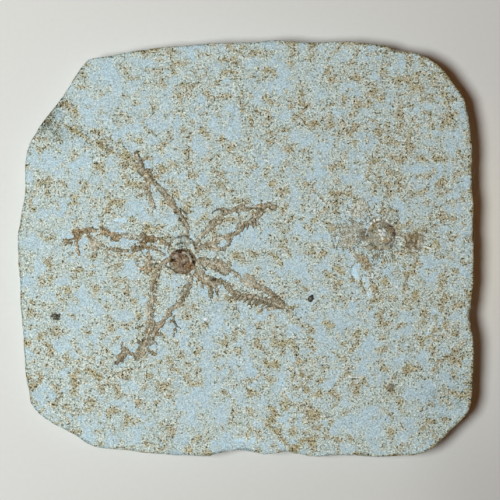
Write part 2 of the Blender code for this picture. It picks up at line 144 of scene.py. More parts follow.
# Stains and rusty clumps on the bedding plane, by field: amount, middle, reach
SLAB_SPOTS = {
    "stain": (
        (0.5, -78.2, 50.2, 5.4), (0.35, -76, 57.2, 4.2), (0.25, -74, 48.6, 4.6), (0.25, -77, 44, 3.6),
        (0.15, -66.6, 47, 3.8), (0.15, -61.6, 44, 3), (0.35, -57, 41, 2.4), (0.15, -52, 38, 2),
        (0.15, -48, 37, 1.6), (1.2, -77, -26.8, 1.3), (1, -75.4, -27.4, 1), (0.9, 57.6, -55.2, 1.6),
        (0.35, 18, -24.6, 1.6), (0.25, 80, -62, 18),
    ),
    "rust": (
        (0.4, -70, 56, 3.4), (0.3, -78.4, 52, 5), (0.35, -57.4, 40.8, 2.6), (0.4, -40, 8, 3.4),
        (0.4, -40, -5, 3.4), (0.8, 51.6, -16, 2.6), (0.8, 55.2, -13.8, 1.7), (0.45, 16.8, -25, 1.6),
        (0.6, 66, 12.4, 2.2), (0.6, -29, 20.6, 3), (0.5, -21.6, 29, 2), (0.5, 71, -18, 4),
        (0.5, -53, -10, 2.4), (0.4, 77.6, 2, 4), (0.9, -44, 61.6, 1.5), (0.6, -55.6, 64, 1.4),
        (0.5, -50.4, 57.6, 1.3), (0.5, -58, 54.8, 1.6), (0.8, 9.6, 44, 2),
    ),
}

# Strokes on the bedding plane: what they are, how strong, then their line with its half width
SLAB_MARKS = (
    ("rust", 0.9, ((16.6, -24.6, 0.4), (18, -27.4, 1.2), (20, -29.2, 1.4))),
    ("rust", 0.9, ((21.6, -30.4, 0.7), (24.6, -31, 0.8), (26.8, -33.6, 0.9))),
    ("rust", 0.7, ((20, -41.6, 0.6), (20.8, -46.4, 0.9), (22.4, -50.4, 0.6))),
    ("rust", 0.8, ((22.6, -54, 0.8), (23.8, -56.4, 1.3))),
    ("rust", 0.9, ((17.6, -61.8, 0.8), (21.4, -63.2, 1.6), (25.2, -65.2, 1.2), (28.4, -68, 1.2))),
    ("rust", 0.9, ((9.2, -63.4, 0.7), (11, -65.4, 1), (9, -68.6, 0.6))),
    ("rust", 0.9, ((7.2, -69.8, 0.3), (12.6, -73.6, 0.4), (15.4, -77.8, 0.6), (19.6, -80, 1.6))),
    ("rust", 0.9, ((21.6, -76.8, 0.6), (25.4, -76.4, 1.1), (26.4, -79.8, 1.3))),
    ("rust", 0.8, ((32.2, -66.8, 0.8), (33.4, -69.4, 1))),
    ("rust", 0.8, ((8, -46.2, 1), (11.6, -46.6, 0.9))),
    ("rust", 0.8, ((-1, -53.4, 1.4), (3.6, -51.8, 0.8))),
    ("rust", 0.8, ((8.4, -51.6, 1), (11.4, -52.2, 0.9))),
    ("rust", 0.8, ((41, -49.6, 0.8), (37.4, -52, 0.9), (34, -57.6, 0.5))),
    ("rust", 0.8, ((45, -55, 0.6), (43.6, -58, 0.9))),
    ("rust", 0.7, ((-73.2, 50, 0.5), (-67.6, 46.4, 0.6), (-62.6, 42.6, 0.6))),
    ("rust", 0.6, ((-50.8, 37.6, 0.6), (-47.6, 34.6, 1.2), (-48.4, 32.6, 0.8))),
    ("clear", 0.4, ((14.2, -54.6, 1.8), (15, -58.6, 2.2))),
    ("clear", 0.4, ((14.4, -68.6, 1.2), (16.2, -72.2, 1.6))),
    ("clear", 0.25, ((0.4, -64, 2.2), (2, -72, 2.6))),
    ("clear", 0.8, ((42.4, -7, 0.3), (42.9, -9.6, 0.8), (43.6, -13, 0.1))),
    ("clear", 0.6, ((43.8, -8.6, 0.2), (44.3, -11.4, 0.4), (44.4, -13.6, 0.1))),
    ("clear", 0.9, ((46.4, -10.8, 0.3), (46.9, -13.6, 0.7), (48.2, -16.8, 0.4), (48.8, -19, 0.1))),
    ("clear", 0.8, ((48.2, -11.4, 0.2), (48.7, -14, 0.5), (49.4, -16.6, 0.4), (49.4, -19.4, 0.1))),
    ("stain", 0.7, ((41.2, -7.6, 0.1), (41.8, -10.4, 0.15), (43, -13.2, 0.1))),
    ("stain", 0.7, ((45.6, -11.2, 0.1), (45.8, -13.8, 0.15), (47.4, -17.2, 0.1))),
    ("rust", 0.5, ((48.4, -11, 0.3), (50.4, -14, 0.7), (51.6, -16.6, 0.9))),
    ("clear", 0.7, ((-4, -76, 1), (2, -76.4, 1.2))),
    ("clear", 0.8, ((74.6, -29.6, 0.5), (72.6, -33.6, 0.7))),
    ("clear", 0.7, ((-52.6, 11.6, 0.4), (-49, 11.4, 0.6))),
    ("stain", 0.8, ((-82.6, 47, 0.4), (-79, 51, 0.8))),
    ("stain", 0.5, ((-80.6, 56.4, 0.5), (-77, 52.6, 0.6), (-72.6, 49.4, 0.3), (-66, 46, 0.2))),
    ("stain", 0.6, ((-84, 52, 0.6), (-80, 50.4, 0.5), (-77.6, 46.4, 0.4))),
    ("rust", 0.5, ((-72.6, 57.6, 1.2), (-70.2, 56.2, 1.8), (-67.8, 53.8, 1))),
    ("rust", 0.2, ((-75, 65, 0.8), (-72.6, 69.6, 0.8))), ("rust", 0.2, ((-60.4, 43, 1), (-57, 40.6, 1.8))),
    ("stain", 0.4, ((-60.4, 43.4, 0.4), (-57, 40.8, 0.7), (-54.8, 39.6, 0.4))),
)

# Loose grains and crystals on the bedding plane: how many, half length, shade from dark to white
GRAIN_KINDS = ((420, (0.16, 0.34), (-0.9, -0.2)), (260, (0.16, 0.36), (0.6, 1.0)))
GRAIN_BEDS = (((-78.0, 52.0), 8.0, 60), ((-65.0, 46.0), 4.4, 12), ((20.0, -27.0), 4.4, 12))
GRAIN_SPREAD = 90.0
GRAIN_MARGIN = 1.5

# Larger grains and flakes: middle, half length, half width, turn, height, shade
FLAKES = (
    ((25.5, -19.9), 1.6, 1.5, 65, 0.6, -1), ((50.3, -10.6), 1.6, 0.6, 86, 0.35, 1),
    ((60.2, -15.2), 0.8, 0.7, 0, 0.3, 1), ((-16.4, -28), 1.2, 0.9, 30, 0.35, 1),
    ((27.2, 15.6), 0.9, 0.6, 60, 0.3, 1), ((2.2, 10.4), 0.5, 0.4, 0, 0.3, -1),
    ((-43.2, -37.3), 0.9, 0.6, 20, 0.4, -0.9), ((-77, -26.6), 1.5, 0.8, 5, 0.4, -1),
    ((-76.2, -27.9), 1.5, 0.6, -5, 0.4, -1), ((-75.2, -26.6), 0.8, 0.6, 60, 0.3, -1),
    ((-40.4, -40.4), 0.6, 0.5, 0, 0.3, 0.95), ((-11.2, -15.2), 0.8, 0.7, 0, 0.75, 1),
    ((57.6, -55.2), 1.5, 1.1, 30, 0.25, -0.35),
)

# Surface of both fossils: grid, how far its edge dips into the stone, how deep its underside lies
CRUST_SPACING = 0.21
CRUST_EDGE = 0.12
CRUST_FLOOR = 11.5
CRUST_CEILING = 14.19
STRAND_EDGE = (0.42, 0.34)
LINE_STEP = 0.35
STAR_BOX = ((-75.0, -48.0), (21.0, 41.0))
URCHIN_BOX = ((-23.0, -20.0), (22.0, 18.0))

# Looks of the strands: blackness, warmth, crest
BROWN = (0.3, 0.45, 0.55)
TAN = (0.05, 0.42, 0.45)
PALE = (-0.3, 0.4, 0.45)
OCHRE = (0.15, 0.62, 0.5)
GREY = (0.12, 0.15, 0.35)
DARK = (0.75, 0.3, 0.4)
BURNT = (0.35, 0.56, 0.55)

# Feather star strands: look, then the centreline with its half width
STRANDS = {
    "arm_01": (BROWN, ((-24.4, 3.6, 0.8), (-23.6, 7.2, 0.9), (-24.8, 10.4, 1.2), (-26.8, 12.8, 1.4),
        (-28.4, 15.6, 1), (-29.6, 17.6, 1.3), (-30.8, 19.6, 1.6), (-32.4, 21.2, 1.3), (-34.4, 23.6, 1),
        (-36.8, 26, 1), (-38.8, 28, 1.3), (-40, 30, 2), (-41.6, 31.6, 2.2), (-42.8, 34, 1.8),
        (-44, 36.4, 1.4), (-44.4, 38.4, 0.8))),
    "arm_01_side": (TAN, ((-39.6, 27.6, 1.2), (-40, 24.8, 1.8), (-39.6, 22.4, 1.4), (-38.4, 19.6, 0.9),
        (-37.6, 17.6, 1), (-37.2, 16, 0.6))),
    "arm_02_root": (BURNT, ((-30.8, 1.2, 0.8), (-33.6, 2.8, 1), (-36, 3.6, 1), (-38.8, 4, 1.6),
        (-41.6, 4.8, 1.3))),
    "arm_02_middle": (GREY, ((-41.6, 4.8, 1.3), (-44.8, 4.8, 1.2), (-48, 5.2, 1), (-50.4, 5.6, 1.1))),
    "arm_02": (OCHRE, ((-50.4, 5.6, 1.1), (-52.8, 4.8, 2), (-55.2, 6, 1.6), (-57.2, 7.2, 1.4),
        (-59.6, 7.4, 1), (-62, 7.6, 1.2), (-64.8, 7.4, 1), (-66.8, 6.8, 1.3), (-68.4, 6.8, 1.9),
        (-68, 4.8, 1.6), (-69.6, 3.2, 1.4), (-71.2, 3.2, 0.9), (-72.4, 3.2, 1.4))),
    "arm_03_root": (BURNT, ((-33.2, -2, 0.8), (-36.4, -0.4, 1.1), (-39.6, 1.2, 1.2), (-42.4, 1.2, 1.8),
        (-44.8, 0.4, 1.6), (-46.4, -0.4, 1), (-48.4, -0.8, 0.6))),
    "arm_03": (TAN, ((-48.4, -0.8, 0.6), (-52.4, -0.4, 0.9), (-56, 0.4, 0.6), (-58.4, 1.6, 1),
        (-60.4, 2.8, 1.3), (-62.4, 4.4, 1.2), (-63.6, 6, 0.8))),
    "arm_04": (BROWN, ((-31.6, -4.4, 1), (-34.4, -6, 1), (-36, -9.2, 1.2), (-36.8, -12.4, 1),
        (-37.2, -15.2, 1.4), (-38, -18.4, 1.3), (-38.4, -21.2, 1.1), (-38.4, -24.4, 1.2),
        (-38.4, -27.6, 1.4), (-38.4, -30.4, 2), (-39.6, -33.6, 1.8), (-40.4, -36.8, 1.9), (-41.6, -39.6, 2),
        (-43.2, -42.4, 1.8), (-44, -44, 1.1))),
    "arm_04_end": (BURNT, ((-43.6, -43.6, 0.8), (-46.4, -42, 0.8), (-48.4, -41.2, 1.2), (-50.4, -43.2, 1.6),
        (-52, -45.2, 1))),
    "arm_04_tip": (OCHRE, ((-48.4, -41.2, 1.2), (-49.6, -39.6, 1), (-50, -37.6, 0.6))),
    "arm_05": (BROWN, ((-24, -8.4, 0.8), (-22.4, -11.6, 0.8), (-23.2, -14.4, 1.2), (-24.4, -16.4, 1.6),
        (-25.2, -18.8, 1.5), (-26.4, -20.8, 1.2), (-28.4, -22.8, 0.8), (-30, -24, 1.2), (-31.6, -26, 1.3),
        (-32.8, -27.6, 1), (-34, -29.6, 1), (-36, -30.8, 1.4), (-37.6, -33.6, 1.3), (-38.4, -36.8, 1.2))),
    "arm_06": (BROWN, ((-22, -6.8, 1.2), (-18.8, -9.2, 1.2), (-16.4, -11.6, 1.4), (-13.6, -12.8, 1.6),
        (-10, -13.2, 1.2), (-8, -14.8, 1.4), (-6.4, -16.4, 1.2), (-4.4, -18, 1.3), (-2, -18.8, 1.4),
        (0.4, -19.4, 1.2), (2.8, -19.6, 1.2), (5.2, -20, 1.3), (7.6, -20.8, 1.5), (10, -21.6, 1.8),
        (12.4, -22.2, 1.9), (14.4, -23, 1.3))),
    "arm_07": (TAN, ((-21.2, -4.4, 1), (-17.6, -4.4, 1.2), (-14.4, -6, 2), (-11.6, -6.8, 2.6),
        (-9.2, -8.4, 2.4), (-7.2, -8.4, 1.2), (-5.6, -9.2, 1), (-3.6, -10.8, 1))),
    "arm_07_pale": (TAN, ((-3.6, -10.8, 1), (-1.6, -12, 1.6), (0.4, -12.4, 2.6), (2.8, -14.4, 1.2))),
    "arm_07_end": (BROWN, ((2.8, -14.4, 1.2), (5.2, -15.2, 1.4), (7.6, -16.4, 1.3), (9.6, -18, 1.5),
        (11.6, -20, 1.7), (13.6, -21.6, 1.6))),
    "arm_08": (BROWN, ((-21.2, 1.2, 0.8), (-18.8, 4.4, 1), (-17.2, 6.8, 1.4), (-15.2, 8.8, 1.7),
        (-13.2, 10.4, 1.7), (-11.2, 12.8, 1.2), (-9.6, 14.8, 1.8), (-7.6, 15.2, 1), (-5.2, 15.4, 1),
        (-2.8, 16.4, 1.4), (-0.4, 16.8, 1.6), (1.6, 16.8, 1), (4, 16.8, 1.2), (6.4, 16.8, 1.5),
        (8.4, 17.6, 1.4), (10.4, 16.8, 1.3), (11.6, 17.2, 0.6))),
    "arm_08_fork": (TAN, ((-13.2, 9.2, 1), (-10.4, 10.8, 0.8))),
    "arm_09": (TAN, ((-21.2, -1.2, 1), (-18, 0.8, 1.3), (-14.8, 1.2, 1.8), (-12.8, 2.8, 1.8),
        (-11.6, 4, 1.4), (-9.2, 4.8, 1.1), (-7.2, 4.8, 1.4), (-5.2, 6, 1), (-3.6, 7.2, 1.6),
        (-2.8, 9.2, 1.4), (-0.8, 10, 1), (1.2, 10.8, 1.2), (2.8, 12.4, 1.2), (4.4, 13.6, 1.2),
        (6, 15.2, 1))),
    "arm_09_loop": (TAN, ((-7.2, 4.4, 1.2), (-7.2, 2.4, 1), (-8.8, 0.4, 0.8), (-11.2, 0, 1),
        (-14, 0.4, 1.2))),
    "cirrus_01": (BROWN, ((-19.6, -10.8, 0.9), (-16.8, -13.2, 1), (-14.8, -15.6, 1), (-14.4, -18.4, 0.8),
        (-14.8, -20.8, 0.5))),
    "cirrus_02": (BROWN, ((-15.6, -12.4, 0.8), (-13.6, -14, 1), (-12, -16.4, 0.8), (-11.6, -18.8, 0.4))),
    "cirrus_03": (BURNT, ((-20.4, -10, 0.8), (-18, -13.2, 0.7), (-17.6, -15.6, 0.4))),
    "cirrus_04": (GREY, ((-32.8, -6.8, 0.4), (-34.8, -5.2, 0.7), (-38, -5.2, 0.9), (-40.4, -4.4, 1.2),
        (-41.6, -2.8, 1), (-42.4, -1.2, 0.5))),
    "cirrus_05": (OCHRE, ((-39.6, -1.6, 0.8), (-39.6, -4.4, 1.4), (-39.2, -7.2, 1.5), (-40, -10, 0.7))),
    "cirrus_06": (OCHRE, ((-35.6, -7.6, 0.5), (-39, -7.4, 0.8), (-42.4, -7.8, 0.8), (-44.2, -5.6, 0.8),
        (-43.4, -3.4, 0.6), (-40.4, -2.6, 0.5))),
    "body_edge": (GREY, ((-33.2, -6.6, 0.4), (-31.2, -7.8, 0.8), (-28.4, -9.6, 0.6))),
    "plate_left": (GREY, ((-32, -1.2, 0.5), (-31.2, 1.6, 0.6), (-29.4, 4, 0.5))),
    "plate_right": (GREY, ((-23.6, 4.6, 0.5), (-21.6, 2.4, 0.8), (-21.2, -0.4, 0.6))),
    "branch_01": (BROWN, ((-40.8, 26.4, 0.5), (-42, 25.2, 0.4), (-43.2, 24, 0.3))),
    "branch_02": (BROWN, ((-39.6, 22.8, 0.6), (-41.2, 21.6, 0.6), (-44, 21.2, 0.4))),
    "branch_03": (BROWN, ((-40.8, 31.6, 0.6), (-39.2, 31.2, 0.6), (-38, 31.6, 0.4))),
    "branch_04": (BROWN, ((-42.4, 34.8, 0.6), (-41.2, 35.6, 0.6), (-40, 36.8, 0.4))),
    "branch_05": (OCHRE, ((-68.4, 2.4, 1), (-68, 0, 1.1), (-66.8, -2.4, 0.4))),
    "branch_06": (TAN, ((-62, 4, 1), (-61.6, 1.6, 1.6), (-60.4, 0, 1.2), (-60.4, -2, 0.4))),
    "branch_07": (BROWN, ((-60, -1.6, 0.4), (-62, -2.8, 0.5), (-64, -3.2, 0.3))),
    "branch_08": (PALE, ((-57.2, 0, 0.4), (-55.6, -2, 0.5), (-54, -2.8, 0.3))),
    "branch_09": (DARK, ((-40, -32, 0.8), (-42.8, -31.2, 0.8), (-45.2, -31.6, 0.4))),
    "branch_10": (BROWN, ((-37.6, -34, 0.8), (-35.6, -34, 0.6), (-33.6, -34, 0.4))),
    "branch_11": (BROWN, ((-38.8, -36.8, 0.8), (-36.8, -37.2, 0.6), (-36, -38, 0.3))),
    "branch_12": (OCHRE, ((-39.2, -40.4, 0.6), (-37.6, -41.6, 0.8), (-35.6, -42.4, 0.4))),
    "branch_13": (BROWN, ((-41.6, -38, 0.6), (-43.2, -37.2, 0.9))),
    "branch_14": (BROWN, ((-34, -30, 0.5), (-31.6, -29.2, 0.4), (-29.6, -28.4, 0.6), (-28.8, -26.8, 0.4))),
    "branch_15": (DARK, ((-29.6, -28.8, 0.4), (-28.4, -30.4, 0.9), (-26.8, -31.6, 0.5))),
    "branch_16": (BURNT, ((-28.8, -32, 0.7), (-29.2, -35.2, 0.6))),
    "pinnule_01": (DARK, ((0, -19.6, 0.4), (-0.8, -20.8, 0.4))),
    "pinnule_02": (DARK, ((2, -20, 0.4), (1.2, -22.4, 0.3))),
    "pinnule_03": (DARK, ((4.8, -20.4, 0.5), (3.6, -22.4, 0.4))),
    "pinnule_04": (OCHRE, ((-3.2, -18.8, 0.6), (-3.6, -22, 0.6), (-4.8, -24, 1))),
    "pinnule_05": (PALE, ((6.4, -22, 0.8), (6, -23.6, 0.8), (4.4, -25.6, 0.5))),
    "pinnule_06": (PALE, ((11.6, -22.8, 0.8), (10, -24, 0.8), (8, -24, 0.6))),
    "pinnule_07": (PALE, ((2.8, -20.4, 0.4), (2.4, -22, 0.3))),
    "pinnule_08": (PALE, ((-0.4, 10, 0.5), (0, 8.4, 0.3))),
    "pinnule_09": (PALE, ((2, 11.6, 0.5), (2.4, 9.6, 0.4))),
    "pinnule_10": (BROWN, ((4.4, 13.2, 0.5), (4.4, 10, 0.4))),
    "pinnule_11": (BURNT, ((-3.2, 7.2, 0.8), (-2.8, 5.2, 0.4))),
    "pinnule_12": (TAN, ((5.6, 17.2, 0.8), (5.6, 18.8, 0.9))),
}
OSSICLE = 0.85

# Pinnules: strand, length, share that is still there
PINNULE_ROWS = (
    ("arm_01", 1, 0.3), ("arm_01_side", 0.9, 0.3), ("arm_02_root", 0.9, 0.3), ("arm_02_middle", 1, 0.4),
    ("arm_02", 1, 0.3), ("arm_03", 1, 0.4), ("arm_04", 0.9, 0.3), ("arm_04_end", 1.1, 0.5),
    ("arm_05", 0.9, 0.3), ("arm_06", 1.1, 0.4), ("arm_07", 0.8, 0.2), ("arm_07_end", 1.1, 0.5),
    ("arm_08", 1, 0.35), ("arm_09", 1.2, 0.5), ("cirrus_01", 0.8, 0.5), ("cirrus_02", 0.8, 0.5),
)
PINNULE_STEP = 0.85
PINNULE_LEAN = (28.0, 52.0)
PINNULE_HALF = 0.14

# Stout pinnules: strand, first and last place along it
TOOTH_ROWS = (("arm_06", 21.5, 37.0), ("arm_09", 24.0, 30.0))
TOOTH_STEP = 1.6
TOOTH_LEAN = 108.0
TOOTH_HALF = 0.36

# Rods: places along them and how wide they are there
ROD_RINGS = ((0.0, 0.35), (0.08, 0.9), (0.5, 1.0), (0.92, 0.6), (1.0, 0.2))
ROD_SIDES = 6

# Round body of the feather star and the plate beside it: middle, half length, half width, height
STAR_BODY = ((-25.9, -4.9), 5.3, 5.0, 1.35)
STAR_PLATE = ((-25.8, 3.0), 3.6, 2.6, 0.45)

# Strokes on the feather star, by kind: how strong, then their line with its half width. The pale strokes are
# painted highlights on edges that face the lamp.
STAR_MARKS = {
    "crack": (
        (0.3, ((-26.8, -0.4, 0.2), (-24.4, -0.8, 0.3), (-22.4, -2.4, 0.3), (-21.6, -4.4, 0.3),
            (-21, -6, 0.2))),
        (0.16, ((-25.6, -2.2, 0.1), (-24, -2.8, 0.2), (-23, -4, 0.2), (-22.8, -5.4, 0.2))),
        (0.25, ((-25.4, -6.6, 0.1), (-24.6, -5.8, 0.2), (-23.9, -5, 0.1))),
        (0.5, ((-32.4, -6.8, 0.2), (-30.4, -8, 0.15), (-28, -9.5, 0.1))),
        (0.35, ((-30.4, -5, 0.2), (-29.2, -4.2, 0.4), (-28.6, -3.8, 0.2))),
        (0.2, ((-29.2, 0, 0.2), (-28, -0.8, 0.4), (-26.4, -1, 0.3))),
        (0.4, ((-31.4, 0.4, 0.1), (-30.2, 3.2, 0.15), (-28.4, 4.4, 0.15), (-26.4, 5, 0.2),
            (-24.2, 5.2, 0.2), (-22.6, 3.8, 0.1))),
        (0.3, ((-28.6, 1.6, 0.1), (-26.8, 2.4, 0.15), (-24.6, 2.6, 0.1))),
        (0.35, ((-21.4, 2.8, 0.1), (-20.6, 0.4, 0.2))), (0.3, ((-26.8, 16.2, 0.2), (-24, 14, 0.2))),
        (0.3, ((-36, 24.4, 0.2), (-33.2, 21.2, 0.2))), (0.3, ((-38.8, -33.4, 0.2), (-39.6, -35.6, 0.3))),
        (0.2, ((-18.8, -5.6, 0.2), (-16.4, -8.4, 0.3))), (0.2, ((-15.2, -12.2, 0.2), (-12.6, -12, 0.2))),
        (0.15, ((-39, -40.8, 0.2), (-37.4, -41.4, 0.2))),
        (0.25, ((-14, 14.4, 0.2), (-11.6, 16, 0.2), (-9.4, 15, 0.2))),
        (0.25, ((-12.2, -17, 0.3), (-11.6, -18.8, 0.2))),
    ),
    # painted highlights along lit edges of the disc and the arms
    "pale": (
        (0.6, ((-25.6, -1.4, 0.2), (-24, -1.8, 0.3), (-22.9, -3.2, 0.3), (-22.4, -4.8, 0.2))),
        (0.9, ((-33.2, -7.9, 0.1), (-31.6, -8.9, 0.15), (-30.2, -9.7, 0.1))),
        (0.9, ((-18.4, -10.6, 0.2), (-17.2, -11.4, 0.3), (-15.6, -11.8, 0.2))),
        (0.9, ((-40.2, -21.4, 0.3), (-40.3, -26.6, 0.3))),
    ),
}

# Coloured spots on the feather star, by field: amount, middle, reach
STAR_SPOTS = {
    "red": (
        (0.6, -28.2, -1.8, 2.2), (0.3, -26.6, -4.4, 3), (0.4, -25, -8.4, 2),
    ),
    "dark": (
        (0.45, -27.6, -1, 1.8), (-0.3, -22.6, -7, 1.8), (-0.4, -25.6, -3.6, 2), (0.4, -28.4, -6.2, 2.2),
        (-0.3, -22.4, -1.2, 1.2), (-0.3, -24.2, -5.4, 1.4), (-0.5, -29.4, -6.4, 2.4), (0.5, -29.8, -4.4, 1),
        (0.5, -25.2, -6, 0.6), (0.4, -26, 1.6, 1.2), (0.7, 2, 10.4, 0.5), (0.8, -43.2, -37.2, 1),
        (0.4, -37, 26.6, 1.6), (0.4, -26, 12.4, 1.2), (0.4, -12, -10, 2.4), (0.35, 6, -20.8, 3),
        (0.35, -9.4, 14.2, 1.6),
    ),
    "pale": (
        (0.9, -28.4, -2.8, 0.7), (0.5, -25.2, -4.8, 0.6), (0.2, -27, -8.2, 2.2), (0.5, -29, 3.6, 1.6),
        (0.3, -25.6, 4, 1.6), (1, -11.2, -15.2, 0.8), (1, -40.4, -40.4, 0.7), (0.6, -2.8, -10.8, 1.6),
        (0.5, 0, -12.6, 2.4), (0.5, -39.4, -34.8, 1), (0.6, -34.6, 22.8, 1), (0.5, -10.4, 4.2, 1.4),
        (0.5, -15, 9, 1.6), (0.6, -61.4, 1.6, 1.8), (0.4, -47, 5, 2.2),
    ),
    "warm": (
        (0.5, -23.4, -7.4, 1.8), (0.7, 5.6, 18.4, 1.2), (0.25, -41.4, 3.4, 2.4), (0.15, -53.6, 5.2, 3),
        (0.2, -69, 5.4, 3),
    ),
}

# Sea urchin: the middle, radius and height of its test, and the five double rows of tubercles
URCHIN_MIDDLE = np.array((53.6, 5.2))
TEST_RADIUS = 6.2
TEST_HEIGHT = 2.05
TEST_FIELDS = 5
TEST_TURN = 9.0
TUBERCLE_STEP = 1.05

# Patches of crust: middle, half length, half width, height, turn, how much of it is fossil
URCHIN_PATCHES = (
    ((0, 0), 10.6, 9, 0.25, 25, 0.45), ((-12.6, 0.2), 7.2, 5.8, 0.35, 80, 1),
    ((-9, 10.6), 6.6, 5, 0.3, 35, 0.8), ((12.4, -2.4), 6.8, 4.8, 0.45, 20, 0.8),
    ((-7.6, 1), 5.4, 2.8, 0.3, 90, 1), ((-7, -10.2), 7, 3, 0.35, -40, 0.7),
    ((3.6, 8.6), 5.2, 3, 0.3, -35, 0.4),
)

# Strokes and spots on the urchin, read from its middle and in the feather star's order
URCHIN_MARKS = {
    "crack": (
        (0.3, ((3.8, 4.4, 0.2), (4.8, 3.8, 0.3))), (0.25, ((5.4, 2.6, 0.2), (6, 0.6, 0.5))),
        (0.2, ((5.9, -0.8, 0.3), (5.4, -2.4, 0.2))),
        (0.3, ((-4.4, 5.6, 0.2), (-3.2, 6.9, 0.3), (-1.4, 7.4, 0.2))),
        (0.15, ((-1.4, 2.8, 0.1), (0.4, 3.2, 0.1))),
        (0.2, ((2, -3.2, 0.2), (4, -2.4, 0.2), (4.6, -1.2, 0.1))),
        (0.3, ((-3.4, 4.5, 0.2), (-1.2, 5.7, 0.2))),
        (0.25, ((-6.2, 2.6, 0.3), (-7.2, 0, 0.5), (-6.6, -1.8, 0.3))),
        (0.25, ((-20, 2, 0.2), (-19.6, -2.2, 0.4), (-18.8, -4.8, 0.3))),
        (0.2, ((-15.4, 14.4, 0.3), (-14.6, 8.6, 0.4), (-11.6, 5.4, 0.3))),
        (0.3, ((-10.4, -10.4, 0.2), (-12.2, -13.2, 0.2))), (0.3, ((10.2, -16.2, 0.2), (9, -20, 0.2))),
        (0.25, ((-4.4, -5.6, 0.2), (-3.2, -7.2, 0.2))), (0.25, ((1, -5.4, 0.3), (-0.6, -6.2, 0.3))),
        (0.2, ((8.8, -6.4, 0.2), (11, -7.4, 0.3), (13.8, -6.8, 0.2))),
        (0.15, ((13.4, 2, 0.2), (15.6, 0.4, 0.3), (17.4, -2, 0.2))),
        (0.15, ((9.4, 1.6, 0.2), (10.2, -1.4, 0.2), (12.4, -3.6, 0.2))),
    ),
    "pale": (
        (1, ((-4, 4.9, 0.2), (-2.8, 6.1, 0.3), (-1, 6.6, 0.2))), (2.4, ((-1.1, 2.3, 0.1), (-0.2, 2, 0.15))),
        (2.4, ((0.8, 2.7, 0.1), (1.4, 1.9, 0.15))), (2.4, ((0.5, 1.1, 0.15), (1.1, 0.4, 0.2))),
        (1.6, ((-0.7, 0.8, 0.1), (-0.2, 0.3, 0.15))), (1.4, ((0.2, -0.8, 0.1), (0.5, -1.4, 0.1))),
        (0.6, ((12.4, -5.6, 0.1), (14.6, -6, 0.1))), (0.8, ((17.2, -4.2, 0.2), (20, -5, 0.2))),
    ),
}
URCHIN_SPOTS = {
    "warm": (
        (0.4, -3, 3.8, 2.2), (0.4, 3.4, 2.6, 2.2), (0.8, 1.6, -2, 1.1), (0.3, -2.8, -4.4, 1.8),
        (0.8, 14, -0.8, 3.8), (0.3, 10.4, -3.6, 3.4), (0.8, -6, -11.4, 3.2), (0.7, -10.6, -7.8, 3),
        (0.5, -19, 0, 2.2), (0.15, -13, -3.4, 4),
    ),
    "pale": (
        (0.15, 0.4, 1.2, 1.6), (0.6, -1, -8.6, 2.2),
    ),
    "dark": (
        (-0.5, 1.6, -2, 1.2), (-0.1, -2.6, 0, 2.4), (0.15, 5.4, 0.6, 1.4), (0.15, 4.4, 4, 1),
        (1.6, -6.4, 0.2, 2), (0.65, -2.4, -4.4, 1.8), (0.25, 3.4, -3.6, 1.4), (0.6, -0.4, -5.8, 0.8),
        (0.75, 14, -1.2, 3.4), (0.8, 11.4, -4.4, 3), (0.55, -6, -11.6, 2.8), (0.3, -13, 2.6, 4.4),
        (-0.2, -9, 10.6, 6), (0.3, -6.4, 4.4, 1.6), (0.2, 3, 8.6, 2.6), (0.2, -1, 1, 4),
    ),
    "red": (
        (0.8, 5.8, 1, 1.6), (0.7, 4.6, 4.2, 1.2), (0.3, -6.6, 0.2, 2), (0.4, 1.4, 6.6, 2),
    ),
}

# Beds of fallen spines: middle, half length, half width, turn, count, direction, spread
SPINE_BEDS = (
    ((-13, 0.4), 7, 6, 80, 170, None, 180), ((-9, 10), 6, 4.6, 35, 70, None, 180),
    ((0, 0), 9.6, 9.6, 0, 80, "radial", 22), ((13, -2.2), 6.2, 4.4, 10, 46, None, 60),
    ((1, -8.2), 5.6, 2.2, 0, 34, "radial", 14), ((-6.8, -9.8), 6.4, 2.6, -32, 30, None, 50),
    ((2.4, 9.6), 6, 3, -30, 40, None, 180), ((-2, -14), 7, 3.4, 0, 26, None, 60),
)
SPINE_LENGTH = (0.6, 2.2)
SPINE_HALF = (0.1, 0.2)

# Camera straight above the slab, and the lamp and the room that light it
VIEW_CENTRE = (1.73, -0.79)
VIEW_HEIGHT = 560.0
VIEW_WIDTH = 200.0
SENSOR = 36.0
LAMP_PLACE = (-330.0, -50.0, 720.0)
LAMP_SIZE = 300.0
LAMP_POWER = 5.6
LAMP_COLOUR = (0.915, 0.98, 1.0)
ROOM_COLOURS = ((0.0, (0.4, 0.38, 0.36)), (0.07, (0.082, 0.024, 0.0)))  # height, colour
FLOOR_HALF = 2500.0
# Painted light falloff: the paper is painted darker from its upper left towards its lower right, between
# these two values of x minus y
PAINTED_FALLOFF_SPAN = (-240.0, 300.0)
# Painted pool of light: right of the slab the paper is painted lighter and warmer, fading out over this
# reach
PAINTED_LIGHT_MIDDLE = (104.0, 6.0, 0.0)
PAINTED_LIGHT_REACH = 80.0
# Painted shade: past the slab's lower right corner the paper is painted darker, fading out over this reach
PAINTED_SHADE_MIDDLE = (102.0, -104.0, 0.0)
PAINTED_SHADE_REACH = 50.0
# Painted glow: far out the paper gives off the room's pale colour, from none at the first distance to full
# at the second
PAINTED_GLOW_SPAN = (300.0, 1200.0)


def smooth_step(value, low, high):
    share = np.clip((value - low) / (high - low), 0.0, 1.0)
    return share * share * (3.0 - 2.0 * share)


def hashed(cells, seed):
    """A steady random value from 0 to 1 for each whole-number cell."""
    mixed = (cells @ HASH_FACTORS + seed * HASH_SEED) & HASH_MASK
    mixed = ((mixed ^ (mixed >> 13)) * HASH_MIX) & HASH_MASK
    return ((mixed ^ (mixed >> 16)) & 0xFFFF) / 0xFFFF


